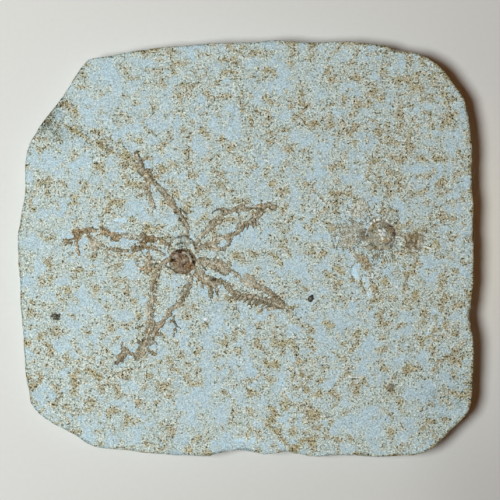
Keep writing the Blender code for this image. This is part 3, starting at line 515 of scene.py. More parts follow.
def value_noise(points, size, seed):
    """Smooth values from -1 to 1 that change over about the given length."""
    scaled = points / size
    cell = np.floor(scaled).astype(np.int64)
    share = smooth_step(scaled - cell, 0.0, 1.0)
    total = np.zeros(len(points))
    for corner in product((0, 1), repeat=3):
        weight = np.prod(np.where(corner, share, 1.0 - share), axis=1)
        total += weight * hashed(cell + corner, seed)
    return 2.0 * total - 1.0


def layered(points, size, seed, octaves=1, fade=0.5):
    return sum(fade**k * value_noise(points, size / 2**k, seed + 17 * k) for k in range(octaves))


def lifted(points, height=0.0):
    """Points seen from above, with a height added as their third number."""
    return np.column_stack((points[:, :2], np.broadcast_to(height, len(points))))


def noise(points, name):
    """One noise of the meshes at points in space, or at points seen from above."""
    return layered(points if points.shape[1] == 3 else lifted(points), *MESH_NOISE[name])


def directions(angles):
    return np.column_stack((np.cos(angles), np.sin(angles)))


def turned(points, degrees):
    """Points turned anticlockwise about their origin."""
    c, s = np.cos(np.radians(degrees)), np.sin(np.radians(degrees))
    x, y = points[..., 0], points[..., 1]
    return np.stack((x * c - y * s, x * s + y * c), axis=-1)


def outward(loop):
    """The direction that leads out of an anticlockwise loop at each of its points."""
    along = np.roll(loop, -1, axis=0) - np.roll(loop, 1, axis=0)
    side = np.column_stack((along[:, 1], -along[:, 0]))
    return side / np.linalg.norm(side, axis=1)[:, None]


def run_along(line):
    """How far along a line each of its points lies."""
    return np.concatenate(([0.0], np.cumsum(np.linalg.norm(np.diff(line[:, :2], axis=0), axis=1))))


def add_object(name, data):
    item = bpy.data.objects.new(name, data)
    bpy.context.scene.collection.objects.link(item)
    return item


def make_piece(name, node, slot, material, points, faces, fields):
    """A smooth-shaded mesh that stands for one CAD node. Fields are values kept per point."""
    mesh = bpy.data.meshes.new(name)
    mesh.from_pydata((points * MM).tolist(), [], [list(face) for face in faces])
    mesh.materials.append(material)
    for key, values in fields.items():
        store = mesh.attributes.new(key, "FLOAT", "POINT")
        store.data.foreach_set("value", np.asarray(values, np.float32))
    mesh.shade_smooth()
    piece = add_object(name, mesh)
    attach(piece, "root")
    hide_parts(node)


def frame_tree(node):
    """A search tree over the CAD node's faces, in millimetres."""
    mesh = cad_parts[node].data
    corners = [vert.co / MM for vert in mesh.vertices]
    return BVHTree.FromPolygons(corners, [tuple(face.vertices) for face in mesh.polygons])


def wall_radius(tree, angles, height):
    """How far the wall stands from the slab's middle at each angle."""
    start = Vector((0.0, 0.0, height))
    aims = [Vector((math.cos(angle), math.sin(angle), 0.0)) for angle in angles]
    return np.array([tree.ray_cast(start, aim, WALL_REACH)[3] for aim in aims])


def even_angles(tree):
    """Angles whose rays meet the wall at equal steps along it."""
    angles = np.linspace(0.0, 2.0 * math.pi, WALL_SCAN + 1)
    reach = run_along(wall_radius(tree, angles, SCAN_HEIGHT)[:, None] * directions(angles))
    goals = np.linspace(0.0, reach[-1], WALL_COLUMNS, endpoint=False)
    return np.interp(goals, reach, angles)


def wall_relief(loop, height):
    """How far the broken wall lies inside the CAD wall: laminae, facets and grain."""
    places = lifted(loop, height)
    level = height + 0.5 * noise(places * (1.0, 1.0, 0.0), "wall wave")
    groove = noise(lifted(np.zeros_like(loop), level), "lamina") * (0.6 + 0.4 * noise(places, "lamina end"))
    facet = noise(places * (1.0, 1.0, 0.6), "facet")
    relief = LAMINA_DEPTH * (0.5 + 0.5 * groove) + FACET_DEPTH * facet * facet
    relief += 0.08 * noise(places, "wall grain")
    return np.maximum(relief, 0.0) * (1.0 - 0.85 * smooth_step(height, 10.4, 11.6))


def wall_rings(tree):
    """The wall's rings from the underside to the rim, all with the same columns."""
    angles = even_angles(tree)
    limit = np.array([corner[:2] for corner in cad_box]) / MM
    rings = []
    for height, inset in (*((height, 0.0) for height in WALL_HEIGHTS), *RIM_ROUNDING):
        scan = min(max(height, SCAN_MARGIN), SLAB_TOP - SCAN_MARGIN)
        loop = wall_radius(tree, angles, scan)[:, None] * directions(angles)
        nick = 0.25 * inset * (1.0 + noise(loop, "rim nick"))
        out = outward(loop)
        lean = RIM_LEAN * np.interp(height, RIM_LEAN_HEIGHTS, (0.0, 1.0)) * (0.15 + 0.85 * out[:, 0] ** 2)
        depth = wall_relief(loop, height) + inset + nick - lean
        rings.append(lifted(np.clip(loop - out * depth[:, None], *limit), height))
    return rings


def hex_grid(low, high, spacing):
    """Points of an even triangular grid over a box."""
    points = []
    for k, y in enumerate(np.arange(low[1], high[1], spacing * math.sqrt(0.75))):
        x = np.arange(low[0] + (k % 2) * spacing / 2.0, high[0], spacing)
        points.append(np.column_stack((x, np.full(len(x), y))))
    return np.concatenate(points)


def box_around(line, margin):
    """The low and the high corner of the box that a line fills with its width and a margin."""
    reach = line[:, 2].max() + margin
    return line[:, :2].min(axis=0) - reach, line[:, :2].max(axis=0) + reach


def mark_grid():
    """Closely set points along the grey and the clean strokes, so that these keep sharp edges."""
    found = []
    for line in (placed(knots) for kind, _, knots in SLAB_MARKS if kind != "rust"):
        grid = hex_grid(*box_around(line, MARK_MARGIN), MARK_SPACING)
        away = np.linalg.norm(grid[:, None] - line[None, :, :2], axis=2) - line[None, :, 2]
        found.append(grid[away.min(axis=1) < MARK_MARGIN])
    return np.concatenate(found)


def fill_loop(loop, spacing, more=()):
    """Even triangles inside a loop. The loop's own points come first and stay."""
    angle = np.arctan2(loop[:, 1], loop[:, 0])
    order = np.argsort(angle)
    grid = np.concatenate((hex_grid(loop.min(axis=0), loop.max(axis=0), spacing), *more))
    aim = np.arctan2(grid[:, 1], grid[:, 0])
    limit = np.interp(aim, angle[order], np.hypot(*loop[order].T), period=2.0 * math.pi)
    grid = grid[np.hypot(*grid.T) < limit - 0.6 * spacing]
    points = [Vector(p) for p in np.concatenate((loop, grid))]
    edges = [(i, (i + 1) % len(loop)) for i in range(len(loop))]
    made = geometry.delaunay_2d_cdt(points, edges, [], 1, 1e-5)
    return np.array([tuple(p) for p in made[0]]), made[2]


def bedding_relief(points):
    """Height of the bedding plane above or below its mean: swells, steps and grain."""
    swell = 0.1 * noise(points, "long swell") + 0.06 * noise(points, "short swell")
    flake = smooth_step(noise(points, "flake"), 0.16, 0.24)
    return swell - 0.07 * flake + 0.05 * noise(points, "bedding grain")


def stone_height(points):
    return SLAB_TOP + bedding_relief(points)


def placed(knots, middle=(0.0, 0.0)):
    """Even points on a smooth curve through knots that are read from the reading point."""
    knots = np.array(knots, float)
    ends = np.vstack((2.0 * knots[0] - knots[1], knots, 2.0 * knots[-1] - knots[-2]))
    dense = []
    for before, start, end, after in zip(ends, ends[1:], ends[2:], ends[3:]):
        bend = 2.0 * before - 5.0 * start + 4.0 * end - after
        twist = 3.0 * start - before - 3.0 * end + after
        for t in np.linspace(0.0, 1.0, 10, endpoint=False):
            dense.append(start + 0.5 * ((end - before) * t + bend * t * t + twist * t**3))
    dense = np.array([*dense, knots[-1]])
    reach = run_along(dense)
    goals = np.linspace(0.0, reach[-1], max(3, round(reach[-1] / LINE_STEP) + 1))
    line = np.column_stack([np.interp(goals, reach, column) for column in dense.T])
    line[:, :2] += READING_POINT + middle
    return line


def along_line(line):
    """Unit direction of a line at each of its points."""
    ahead = np.gradient(line[:, :2], axis=0)
    return ahead / np.linalg.norm(ahead, axis=1)[:, None]


def line_survey(points, line):
    """Near a line: which points, how deep inside it, place along it and signed side."""
    low, high = box_around(line, 1.2)
    near = np.flatnonzero(((points > low) & (points < high)).all(axis=1))
    offset = points[near, None] - line[None, :, :2]
    inside = line[None, :, 2] - np.linalg.norm(offset, axis=2)
    best = inside.argmax(axis=1)
    rows = np.arange(len(near))
    ahead = along_line(line)[best]
    step = offset[rows, best]
    side = ahead[:, 0] * step[:, 1] - ahead[:, 1] * step[:, 0]
    run = best * LINE_STEP + (ahead * step).sum(axis=1)
    return near, inside[rows, best], run, side


def strand_survey(points):
    """What the nearest strand is like at each point: depth inside it, run, side, its look."""
    found = np.zeros((len(points), 6))
    found[:, 0] = -5.0
    for look, knots in STRANDS.values():
        near, inside, run, side = line_survey(points, placed(knots))
        rows = np.column_stack((inside, run, side, np.broadcast_to(look, (len(near), 3))))
        better = inside > found[near, 0]
        found[near[better]] = rows[better]
    return *found[:, :3].T, found[:, 3:]


def mark_field(points, strokes, middle=(0.0, 0.0)):
    """How strongly each point is marked by strokes."""
    total = np.zeros(len(points))
    for amount, knots in strokes:
        near, inside, _, _ = line_survey(points, placed(knots, middle))
        total[near] = np.maximum(total[near], amount * smooth_step(inside, -0.34, -0.02))
    return total


def spot_field(points, spots, middle=(0.0, 0.0)):
    """A soft sum of spots: amount, place, reach."""
    total = np.zeros(len(points))
    for amount, x, y, reach in spots:
        away = np.linalg.norm(points - READING_POINT - middle - (x, y), axis=1)
        total += amount * np.exp(-((away / reach) ** 2))
    return total


def marks_and_spots(points, marks, spots, middle=(0.0, 0.0)):
    """The cracks and the pale lines of a fossil, and its spots by field. On the feather star the pale lines
    are painted highlights.
    """
    cracks, chalk_and_highlight = (mark_field(points, marks[kind], middle) for kind in ("crack", "pale"))
    return cracks, chalk_and_highlight, {key: spot_field(points, rows, middle) for key, rows in spots.items()}


def torn(field, points, name):
    """A soft field torn into irregular pieces."""
    return np.clip(field, 0.0, 1.2) * np.clip(0.8 + 0.9 * noise(points, name), 0.0, 1.8)


def scored(height, cracks, chalk_and_highlight):
    """Strokes cut into the crust. Where it is missing, they leave a thin line of it."""
    height = np.where(np.maximum(cracks, chalk_and_highlight) > 0.05, np.maximum(height, 0.14), height)
    return np.where(height > 0.0, np.maximum(height - cracks, 0.06), height)


def lens(points, middle, half_length, half_width, height):
    """A low lens: its height above the stone, and how far from its middle each point is."""
    share = np.linalg.norm((points - READING_POINT - middle) / (half_length, half_width), axis=1)
    dome = height * np.sqrt(np.clip(1.0 - share**2, 0.0, 1.0))
    return np.where(share < 1.0, dome, -1.5 * (share - 1.0)), share


def star_arms(points):
    """Height of the arms above the stone: joints across them, streaks along them, broken edges."""
    depth, run, side, look = strand_survey(points)
    wide, fine = STRAND_EDGE
    edge = depth + wide * noise(points, "arm edge") + fine * noise(points, "arm nick")
    edge -= 1.1 * smooth_step(noise(points, "arm gap"), 0.4, 0.85)
    joint = np.cos(2.0 * math.pi * run / OSSICLE) * smooth_step(np.abs(side), 0.7, 0.35)
    streak = noise(np.column_stack((run / 4.0, side / 0.48, look[:, 0] * 9.0)), "streak")
    arm = look[:, 2] * (1.0 - np.exp(-np.maximum(edge, 0.0) / 0.35))
    arm *= 0.72 + 0.18 * joint + 0.4 * streak + 0.3 * noise(points, "arm grain")
    rim = smooth_step(edge, 0.6, 0.15)
    cover = (0.7 + 0.6 * smooth_step(edge, 0.0, 0.4)) * (0.8 + look[:, 2] * 0.6)
    shade = 0.45 * rim - 0.8 * streak - 0.3 * joint - 0.06 + 0.5 * noise(points, "arm shade")
    return np.where(edge > 0.0, arm, 0.8 * edge), look, shade, cover


def star_surface(points):
    """Height of the feather star above the stone, and the fields that colour it."""
    arm, look, shade, cover = star_arms(points)
    bent = points + 0.5 * np.column_stack((noise(points, "bend x"), noise(points, "bend y")))
    body, share = lens(bent, *STAR_BODY)
    body += (0.14 * noise(points, "body") + 0.1 * noise(points, "arm grain")) * (share < 1.0)
    plate = lens(bent, *STAR_PLATE)[0] + 0.14 * noise(points, "plate")
    cracks, chalk_and_highlight, spots = marks_and_spots(points, STAR_MARKS, STAR_SPOTS)
    on_body = smooth_step(share, 1.03, 0.9)
    off_body = 1.0 - on_body
    on_plate = (plate > arm) * off_body
    # where the painted highlights run, the star is made lighter and whiter
    dark = (look[:, 0] + shade) * off_body + 0.8 * on_body - 0.8 * np.minimum(chalk_and_highlight, 1.0)
    fields = {
        "dark": dark + 3.6 * cracks + spots["dark"],
        "warm": look[:, 1] * (1.0 - 0.8 * on_plate) * off_body + 0.6 * on_body + spots["warm"],
        "red": 0.2 * on_body + spots["red"] * on_body,
        "cover": np.maximum(cover * (1.0 - on_plate), 1.2 * on_body) + 0.5 * on_plate + 4.0 * cracks + chalk_and_highlight,
        "pale": 0.1 * on_plate + spots["pale"] + chalk_and_highlight,
    }
    return scored(np.maximum(np.maximum(arm, body), plate), cracks, chalk_and_highlight), fields


def test_relief(offset):
    """Rows of tubercles and the seams between the rows on the urchin's test."""
    away = np.linalg.norm(offset, axis=1)
    angle = np.degrees(np.arctan2(offset[:, 1], offset[:, 0])) - TEST_TURN
    sector = 360.0 / (2 * TEST_FIELDS)
    across = (angle / sector - np.floor(angle / sector) - 0.5) * np.radians(sector) * away
    along = (away / TUBERCLE_STEP - np.floor(away / TUBERCLE_STEP) - 0.5) * TUBERCLE_STEP
    tubercle = smooth_step(np.hypot(across, along), 0.36, 0.1) * smooth_step(away, 1.6, 2.4)
    seam = smooth_step(np.abs(np.abs(across) - np.radians(sector / 2.0) * away), 0.22, 0.05)
    return 0.2 * tubercle - 0.16 * seam * smooth_step(away, 1.2, 2.0)


def urchin_surface(points):
    """Height of the urchin and the crust around it, and the fields that colour them."""
    offset = points - READING_POINT - URCHIN_MIDDLE
    share = np.linalg.norm(offset, axis=1) / TEST_RADIUS + 0.09 * noise(points, "test edge")
    inside = np.clip(1.0 - share**2, 0.0, 1.0)
    on_test = smooth_step(share, 1.0, 0.93)
    dome = TEST_HEIGHT * (0.12 * np.sqrt(inside) + 0.76 * inside)
    dome += on_test * (test_relief(offset) + 0.3 * noise(points, "test"))
    height = np.where(share < 1.0, dome, -2.0)
    cover = 1.2 * on_test
    for middle, half_length, half_width, rise, turn, kept in URCHIN_PATCHES:
        away = np.linalg.norm(turned(offset - middle, -turn) / (half_length, half_width), axis=1)
        ragged = 0.9 - away + 0.3 * noise(points, "patch edge")
        low = rise * smooth_step(ragged, 0.0, 0.35) * (0.75 + 0.6 * noise(points, "patch"))
        height = np.maximum(height, np.where(ragged > 0.0, low, 0.8 * ragged))
        cover = np.maximum(cover, kept * smooth_step(ragged, 0.0, 0.5))
    cracks, chalk_and_highlight, spots = marks_and_spots(points, URCHIN_MARKS, URCHIN_SPOTS, URCHIN_MIDDLE)
    mottle = 0.65 * noise(points, "mottle")
    broken = on_test + (1.0 - on_test) * (0.35 + smooth_step(noise(points, "blotch"), -0.35, 0.25))
    drop = 1.5 * np.minimum(chalk_and_highlight, 1.0)
    fields = {
        "dark": (0.4 + mottle) * on_test + 2.6 * cracks - 0.2 - drop + broken * spots["dark"],
        "warm": 0.1 + (0.06 - 0.4 * mottle) * on_test + broken * spots["warm"],
        "red": spots["red"],
        "pale": 0.1 - 0.1 * on_test + chalk_and_highlight + spots["pale"],
        "cover": cover + 2.0 * cracks + chalk_and_highlight,
    }
    return scored(height, cracks, chalk_and_highlight), fields


def crust_solid(low, high, surface):
    """A closed crust wherever the surface rises above the stone, as points, faces and fields."""
    x, y = (np.arange(start, end, CRUST_SPACING) for start, end in zip(low, high))
    points = np.column_stack([axis.ravel() for axis in np.meshgrid(x, y)])
    height, fields = surface(points)
    kept = (height > -CRUST_EDGE).reshape(len(y), len(x))
    cells = kept[:-1, :-1] & kept[1:, :-1] & kept[:-1, 1:] & kept[1:, 1:]
    top = np.minimum(stone_height(points) + height, CRUST_CEILING)
    label = np.arange(len(points)).reshape(kept.shape)
    corners = (label[:-1, :-1], label[:-1, 1:], label[1:, 1:], label[1:, :-1])
    faces = np.column_stack([corner[cells] for corner in corners])
    under = faces[:, ::-1] + len(points)
    padded = np.pad(cells, 1)
    sides = []
    for k, (shift_y, shift_x) in enumerate(((0, 1), (1, 2), (2, 1), (1, 0))):
        beyond = padded[shift_y : shift_y + cells.shape[0], shift_x : shift_x + cells.shape[1]]
        border = cells & ~beyond
        start, end = corners[k][border], corners[(k + 1) % 4][border]
        sides.append(np.column_stack((start, start + len(points), end + len(points), end)))
    used, faces = np.unique(np.concatenate((faces, under, *sides)), return_inverse=True)
    both = np.concatenate((lifted(points, top), lifted(points, CRUST_FLOOR)))
    fields = {key: np.concatenate((value, value))[used] for key, value in fields.items()}
    return both[used], faces.reshape(-1, 4), fields


def rods(starts, ends, halves, looks):
    """Slender tapering rods that lie on the stone, as one set of points, faces and fields."""
    shares, widths = np.array(ROD_RINGS).T
    around = np.radians(np.arange(ROD_SIDES) * 360.0 / ROD_SIDES)
    ahead = (ends - starts) / np.linalg.norm(ends - starts, axis=1)[:, None]
    side = np.cross(ahead, (0.0, 0.0, 1.0))
    side /= np.linalg.norm(side, axis=1)[:, None]
    up = np.cross(side, ahead)
    spine = starts[:, None] + (ends - starts)[:, None] * shares[None, :, None]
    ring = side[:, None] * np.cos(around)[None, :, None] + up[:, None] * np.sin(around)[None, :, None]
    reach = halves[:, None] * widths[None, :]
    points = spine[:, :, None] + ring[:, None] * reach[:, :, None, None]
    i = np.arange(ROD_SIDES)
    quad = np.column_stack((i, np.roll(i, -1), np.roll(i, -1) + ROD_SIDES, i + ROD_SIDES))
    quads = np.concatenate([quad + k * ROD_SIDES for k in range(len(shares) - 1)])
    base = np.arange(len(starts))[:, None] * len(shares) * ROD_SIDES
    faces = (base[:, :, None] + quads[None]).reshape(-1, 4).tolist()
    faces += (base + i[::-1]).tolist() + (base + (len(shares) - 1) * ROD_SIDES + i).tolist()
    fields = {key: np.repeat(values, len(shares) * ROD_SIDES) for key, values in looks.items()}
    return points.reshape(-1, 3), faces, fields


def pinnule_row(rng, strand, length, share):
    """The pinnules of one strand: start, end, rise, blackness, warmth and stoutness of each."""
    look, knots = STRANDS[strand]
    line = placed(knots)
    ahead = along_line(line)
    found = []
    for side, run in product((-1, 1), np.arange(0.4, (len(line) - 1) * LINE_STEP, PINNULE_STEP)):
        kept, lean, stretch, lift = rng.random(4)
        if kept > share:
            continue
        k = round(run / LINE_STEP)
        aim = turned(ahead[k], side * (PINNULE_LEAN[0] + lean * (PINNULE_LEAN[1] - PINNULE_LEAN[0])))
        start = line[k, :2] + aim * 0.35 * line[k, 2]
        end = line[k, :2] + aim * (line[k, 2] + length * (0.45 + 0.6 * stretch))
        found.append((*start, *end, 0.3 + 0.25 * look[2] + 0.1 * lift, look[0], look[1], 1.0))
    return found


def tooth_row(rng, strand, first, last):
    """Stout dark pinnules that point back towards the body."""
    line = placed(STRANDS[strand][1])
    ahead = along_line(line)
    found = []
    for run in np.arange(first, last, TOOTH_STEP):
        k = round((run + 0.3 * rng.random()) / LINE_STEP)
        aim = turned(ahead[k], -TOOTH_LEAN - 20.0 * rng.random())
        end = line[k, :2] + aim * (line[k, 2] + 1.5 + 0.8 * rng.random())
        found.append((*line[k, :2], *end, 0.7, 2.5, 0.5, TOOTH_HALF / PINNULE_HALF))
    return found


def build_pinnules():
    rng = np.random.default_rng(11)
    rows = [pinnule_row(rng, *row) for row in PINNULE_ROWS] + [tooth_row(rng, *row) for row in TOOTH_ROWS]
    rows = np.concatenate(rows)
    starts, ends, (rise, dark, warm, stout) = rows[:, :2], rows[:, 2:4], rows[:, 4:].T
    starts, ends = lifted(starts, stone_height(starts) + rise), lifted(ends, stone_height(ends) + 0.06)
    halves = PINNULE_HALF * stout * (0.8 + 0.5 * rng.random(len(rows)))
    shade = rng.random(len(rows)) * (stout < 1.5)
    looks = {
        "dark": dark + 0.7 * (shade < 0.45),
        "warm": warm * rng.random(len(rows)) * 1.4,
        "red": 0.7 * (stout > 1.5),
        "pale": 0.8 * (shade > 0.82),
        "cover": np.ones(len(rows)),
    }
    make_piece("star_pinnules", "feather_star", "star_calcite", bpy.data.materials["star_calcite"],
               *rods(starts, ends, halves, looks))


def build_feather_star():
    make_piece("star_crust", "feather_star", "star_calcite",
               fossil_calcite("star_calcite", 1.0, tone(*STAR_CHALK_AND_HIGHLIGHT), 0.0),
               *crust_solid(*(READING_POINT + corner for corner in STAR_BOX), star_surface))


def build_urchin():
    middle = URCHIN_MIDDLE + READING_POINT
    make_piece("urchin_crust", "small_urchin", "urchin_calcite",
               fossil_calcite("urchin_calcite", 0.6, tone(*URCHIN_CHALK), 0.5),
               *crust_solid(*(middle + corner for corner in URCHIN_BOX), urchin_surface))


def spine_bed(rng, middle, half_length, half_width, turn, count, direction, spread):
    """Start and end of each fallen spine of one bed, measured from the urchin's middle."""
    away, around = np.sqrt(rng.random(count)), 2.0 * math.pi * rng.random(count)
    spots = turned(directions(around) * away[:, None] * (half_length, half_width), turn) + middle
    aim = math.radians(turn)
    if direction == "radial":
        spots *= np.maximum(1.0, (TEST_RADIUS + 0.6) / np.hypot(*spots.T))[:, None]
        aim = np.arctan2(spots[:, 1], spots[:, 0])
    aim = aim + np.radians(spread) * (2.0 * rng.random(count) - 1.0)
    length = SPINE_LENGTH[0] + (SPINE_LENGTH[1] - SPINE_LENGTH[0]) * rng.random(count) ** 2
    step = length[:, None] * directions(aim)
    return spots - step / 2.0, spots + step / 2.0


def build_spines():
    rng = np.random.default_rng(23)
    beds = [spine_bed(rng, *bed) for bed in SPINE_BEDS]
    starts, ends = (np.concatenate(part) + (READING_POINT + URCHIN_MIDDLE) for part in zip(*beds))
    count = len(starts)
    lift = 0.12 + 0.22 * rng.random((2, count))
    starts, ends = (lifted(p, stone_height(p) + rise) for p, rise in zip((starts, ends), lift))
    halves = SPINE_HALF[0] + (SPINE_HALF[1] - SPINE_HALF[0]) * rng.random(count)
    shade, warm = rng.random((2, count))
    looks = {
        "dark": 1.2 * (shade < 0.42) - 0.25,
        "warm": 0.5 * (warm > 0.8) - 0.2,
        "red": np.zeros(count),
        "pale": 0.9 * (shade > 0.55),
        "cover": 0.5 + 0.6 * rng.random(count),
    }
    make_piece("urchin_spines", "small_urchin", "urchin_calcite", bpy.data.materials["urchin_calcite"],
               *rods(starts, ends, halves, looks))


def grain_shape():
    """Points and faces of a unit grain."""
    mesh = bmesh.new()
    bmesh.ops.create_icosphere(mesh, subdivisions=2, radius=1.0)
    points = np.array([tuple(vert.co) for vert in mesh.verts])
    faces = np.array([[vert.index for vert in face.verts] for face in mesh.faces])
    mesh.free()
    return points, faces


def scattered(rng):
    """Loose grains: a few thicker beds of dark ones, and both kinds all over the slab."""
    rows = []
    for count, (small, large), (low, high) in GRAIN_KINDS:
        spots = GRAIN_SPREAD * (2.0 * rng.random((count, 2)) - 1.0)
        size = small + (large - small) * rng.random(count) ** 2
        rows.append(np.column_stack((spots, size, low + (high - low) * rng.random(count))))
    for middle, reach, count in GRAIN_BEDS:
        spots = rng.normal(0.0, 0.5 * reach, (count, 2)) + middle
        rows.append(np.column_stack((spots, 0.18 + 0.2 * rng.random(count), -0.7 + 0.6 * rng.random(count))))
    spots, size, shade = np.split(np.concatenate(rows), (2, 3), axis=1)
    turns = 360.0 * rng.random(len(size))
    widths = size[:, 0] * (0.5 + 0.4 * rng.random(len(size)))
    return np.column_stack((spots, size, widths, turns, size * 0.8, shade))[on_slab(spots)]


def on_slab(spots):
    """Which places lie on the bedding plane, a little inside its rim."""
    points = spots + READING_POINT
    walls = wall_radius(frame_tree("slab"), np.arctan2(points[:, 1], points[:, 0]), SCAN_HEIGHT)
    return np.linalg.norm(points, axis=1) < walls - GRAIN_MARGIN


def build_grains():
    rng = np.random.default_rng(37)
    rows = np.concatenate((np.array([(*middle, *rest) for middle, *rest in FLAKES]), scattered(rng)))
    unit, unit_faces = grain_shape()
    knobs = 1.0 + 0.3 * (2.0 * rng.random((len(rows), len(unit), 1)) - 1.0)
    shape = unit[None] * knobs * rows[:, None, (2, 3, 5)]
    shape[..., 1] *= 1.0 - 0.5 * np.abs(unit[:, 0])
    places = rows[:, :2] + READING_POINT
    flat = places[:, None] + turned(shape, rows[:, 4:5])
    rise = stone_height(places)[:, None] + shape[..., 2]
    points = np.concatenate((flat, rise[..., None]), axis=2).reshape(-1, 3)
    faces = (unit_faces[None] + len(unit) * np.arange(len(rows))[:, None, None]).reshape(-1, 3)
    make_piece("slab_grains", "slab", "limestone", crystal(), points, faces,
               {"shade": np.repeat(rows[:, 6], len(unit))})


def build_slab():
    rings = wall_rings(frame_tree("slab"))
    wall = np.concatenate(rings)
    count = WALL_COLUMNS
    rim = len(wall) - count
    i = np.arange(count)
    quad = np.column_stack((i, np.roll(i, -1), np.roll(i, -1) + count, i + count))
    faces = np.concatenate([quad + low for low in range(0, rim, count)]).tolist()
    top, top_faces = fill_loop(rings[-1][:, :2], TOP_SPACING, [mark_grid()])
    under, under_faces = fill_loop(rings[0][:, :2], UNDERSIDE_SPACING)
    top, under = top[count:], under[count:]
    faces += [[rim + i for i in face] for face in top_faces]
    faces += [[i if i < count else rim + len(top) + i for i in reversed(face)] for face in under_faces]
    edge = np.array([np.min(np.linalg.norm(rings[-1][::4, :2] - p, axis=1)) for p in top])
    height = SLAB_TOP + bedding_relief(top) * smooth_step(edge, 0.0, 3.0)
    height -= 0.16 * (1.0 - smooth_step(edge, 0.0, 1.6))
    wall[rim:, 2] -= 0.1
    lift = np.maximum(0.12 + 0.1 * noise(under, "underside"), 0.0)
    points = np.concatenate((wall, lifted(top, height), lifted(under, lift)))
    flat = points[:, :2]
    fields = {key: torn(spot_field(flat, rows), flat, key) for key, rows in SLAB_SPOTS.items()}
    for key in ("stain", "rust", "clear"):
        strokes = [stroke for kind, *stroke in SLAB_MARKS if kind == key]
        fields[key] = fields.get(key, 0.0) + mark_field(flat, strokes)
        fields[key] *= smooth_step(points[:, 2], 1.0, SLAB_TOP - 1.0)
    fields["ochre"] = spot_field(flat, OCHRE_AREAS)
    fields["clear"] *= 0.9 + 0.5 * noise(flat, "clear")
    # Painted shade along the rim's rounding: a darker line all round, and brown on the right, which faces
    # away from the lamp
    rounding = slice(len(wall) - len(RIM_ROUNDING) * count, len(wall))
    fields["stain"][rounding] += RIM_PAINTED_SHADE
    fields["rust"][rounding] += smooth_step(flat[rounding, 0], 30.0, 70.0)
    make_piece("slab_stone", "slab", "limestone", limestone(), points, faces, fields)


def tone(red, green, blue):
    """A colour given as it shows on a screen, 0 to 255, as linear light."""
    shares = (value / 255.0 for value in (red, green, blue))
    return (*(s / 12.92 if s <= 0.04045 else ((s + 0.055) / 1.055) ** 2.4 for s in shares), 1.0)


class Graph:
    """The nodes of one material. Its places are millimetres in the object's own space."""

    def __init__(self, name, roughness, specular):
        self.material = bpy.data.materials.new(name)
        self.material.use_nodes = True
        self.tree = self.material.node_tree
        self.shader = self.tree.nodes["Principled BSDF"]
        self.shader.inputs["Roughness"].default_value = roughness
        self.shader.inputs["Specular IOR Level"].default_value = specular
        self.place = self.scaled(self.node("TexCoord", out="Object"), 1.0 / MM)

    def node(self, kind, inputs=(), out=0, **settings):
        """Adds a node, sets its inputs in turn or by name, and returns one output."""
        item = self.tree.nodes.new("ShaderNode" + kind)
        for key, value in settings.items():
            setattr(item, key, value)
        for key, value in (inputs if isinstance(inputs, dict) else dict(enumerate(inputs))).items():
            if isinstance(value, bpy.types.NodeSocket):
                self.tree.links.new(value, item.inputs[key])
            else:
                item.inputs[key].default_value = value
        return item.outputs[out]

    def wear(self, colour, normal=None):
        """Gives the shader its colour and, if there is one, its bumps."""
        self.tree.links.new(colour, self.shader.inputs["Base Color"])
        if normal:
            self.tree.links.new(normal, self.shader.inputs["Normal"])
        return self.material

    def scaled(self, vector, factor):
        return self.node("VectorMath", {0: vector, "Scale": factor}, operation="SCALE")

    def vector(self, operation, a, b):
        return self.node("VectorMath", (a, b), operation=operation)

    def times(self, a, b, clamp=False):
        return self.node("Math", (a, b), operation="MULTIPLY", use_clamp=clamp)

    def total(self, start, *parts):
        """A value plus some others, each given with its share."""
        for part, share in parts:
            start = self.node("Math", (start, self.times(part, share)), operation="ADD")
        return start

    def fields(self, *names):
        return [self.node("Attribute", out="Fac", attribute_name=name) for name in names]

    def noise(self, name, place=None, out="Fac"):
        size, detail, rough, offset = COLOUR_NOISE[name]
        moved = self.vector("ADD", place or self.place, (offset, 1.7 * offset, 0.6 * offset))
        inputs = {"Vector": moved, "Scale": 1.0 / size, "Detail": detail, "Roughness": rough}
        return self.node("TexNoise", inputs, out)

    def away(self, middle):
        """Distance from a fixed place."""
        return self.node("VectorMath", (self.place, middle), "Value", operation="DISTANCE")

    def step(self, value, low, high):
        """0 below low and 1 above high, with a smooth change between them."""
        inputs = {"Value": value, "From Min": low, "From Max": high}
        return self.node("MapRange", inputs, "Result", interpolation_type="SMOOTHSTEP")

    def ramp(self, value, tones):
        """A colour that runs through the given tones."""
        made = self.node("ValToRGB", (value,))
        marks = made.node.color_ramp.elements
        for place, *_ in tones[1:-1]:
            marks.new(place)
        for mark, (place, *colour) in zip(marks, tones):
            mark.position = place
            mark.color = tone(*colour)
        return made

    def power(self, colour, exponent):
        return self.node("Gamma", (colour, exponent))

    def lit(self, colour, light):
        """A colour made lighter or darker by equal shown steps, with its tint kept."""
        lights = self.node("CombineXYZ", (light, light, light))
        shown = self.vector("ADD", self.power(colour, 1.0 / SCREEN_GAMMA), lights)
        return self.power(self.vector("MAXIMUM", shown, LEAST_TONE), SCREEN_GAMMA)

    def mix(self, factor, a, b):
        return self.node("Mix", {0: factor, 6: a, 7: b}, 2, data_type="RGBA")

    def bump(self, height, distance, **below):
        return self.node("Bump", {"Height": height, "Distance": distance * MM, **below})

    def grain(self):
        """Fine light and dark grain about zero, and small dark pits from 0 to 1."""
        pit = self.step(self.noise("pit"), 0.57, 0.64)
        return self.total(-0.725, (self.noise("fine"), 1.0), (self.noise("coarse"), 0.45)), pit


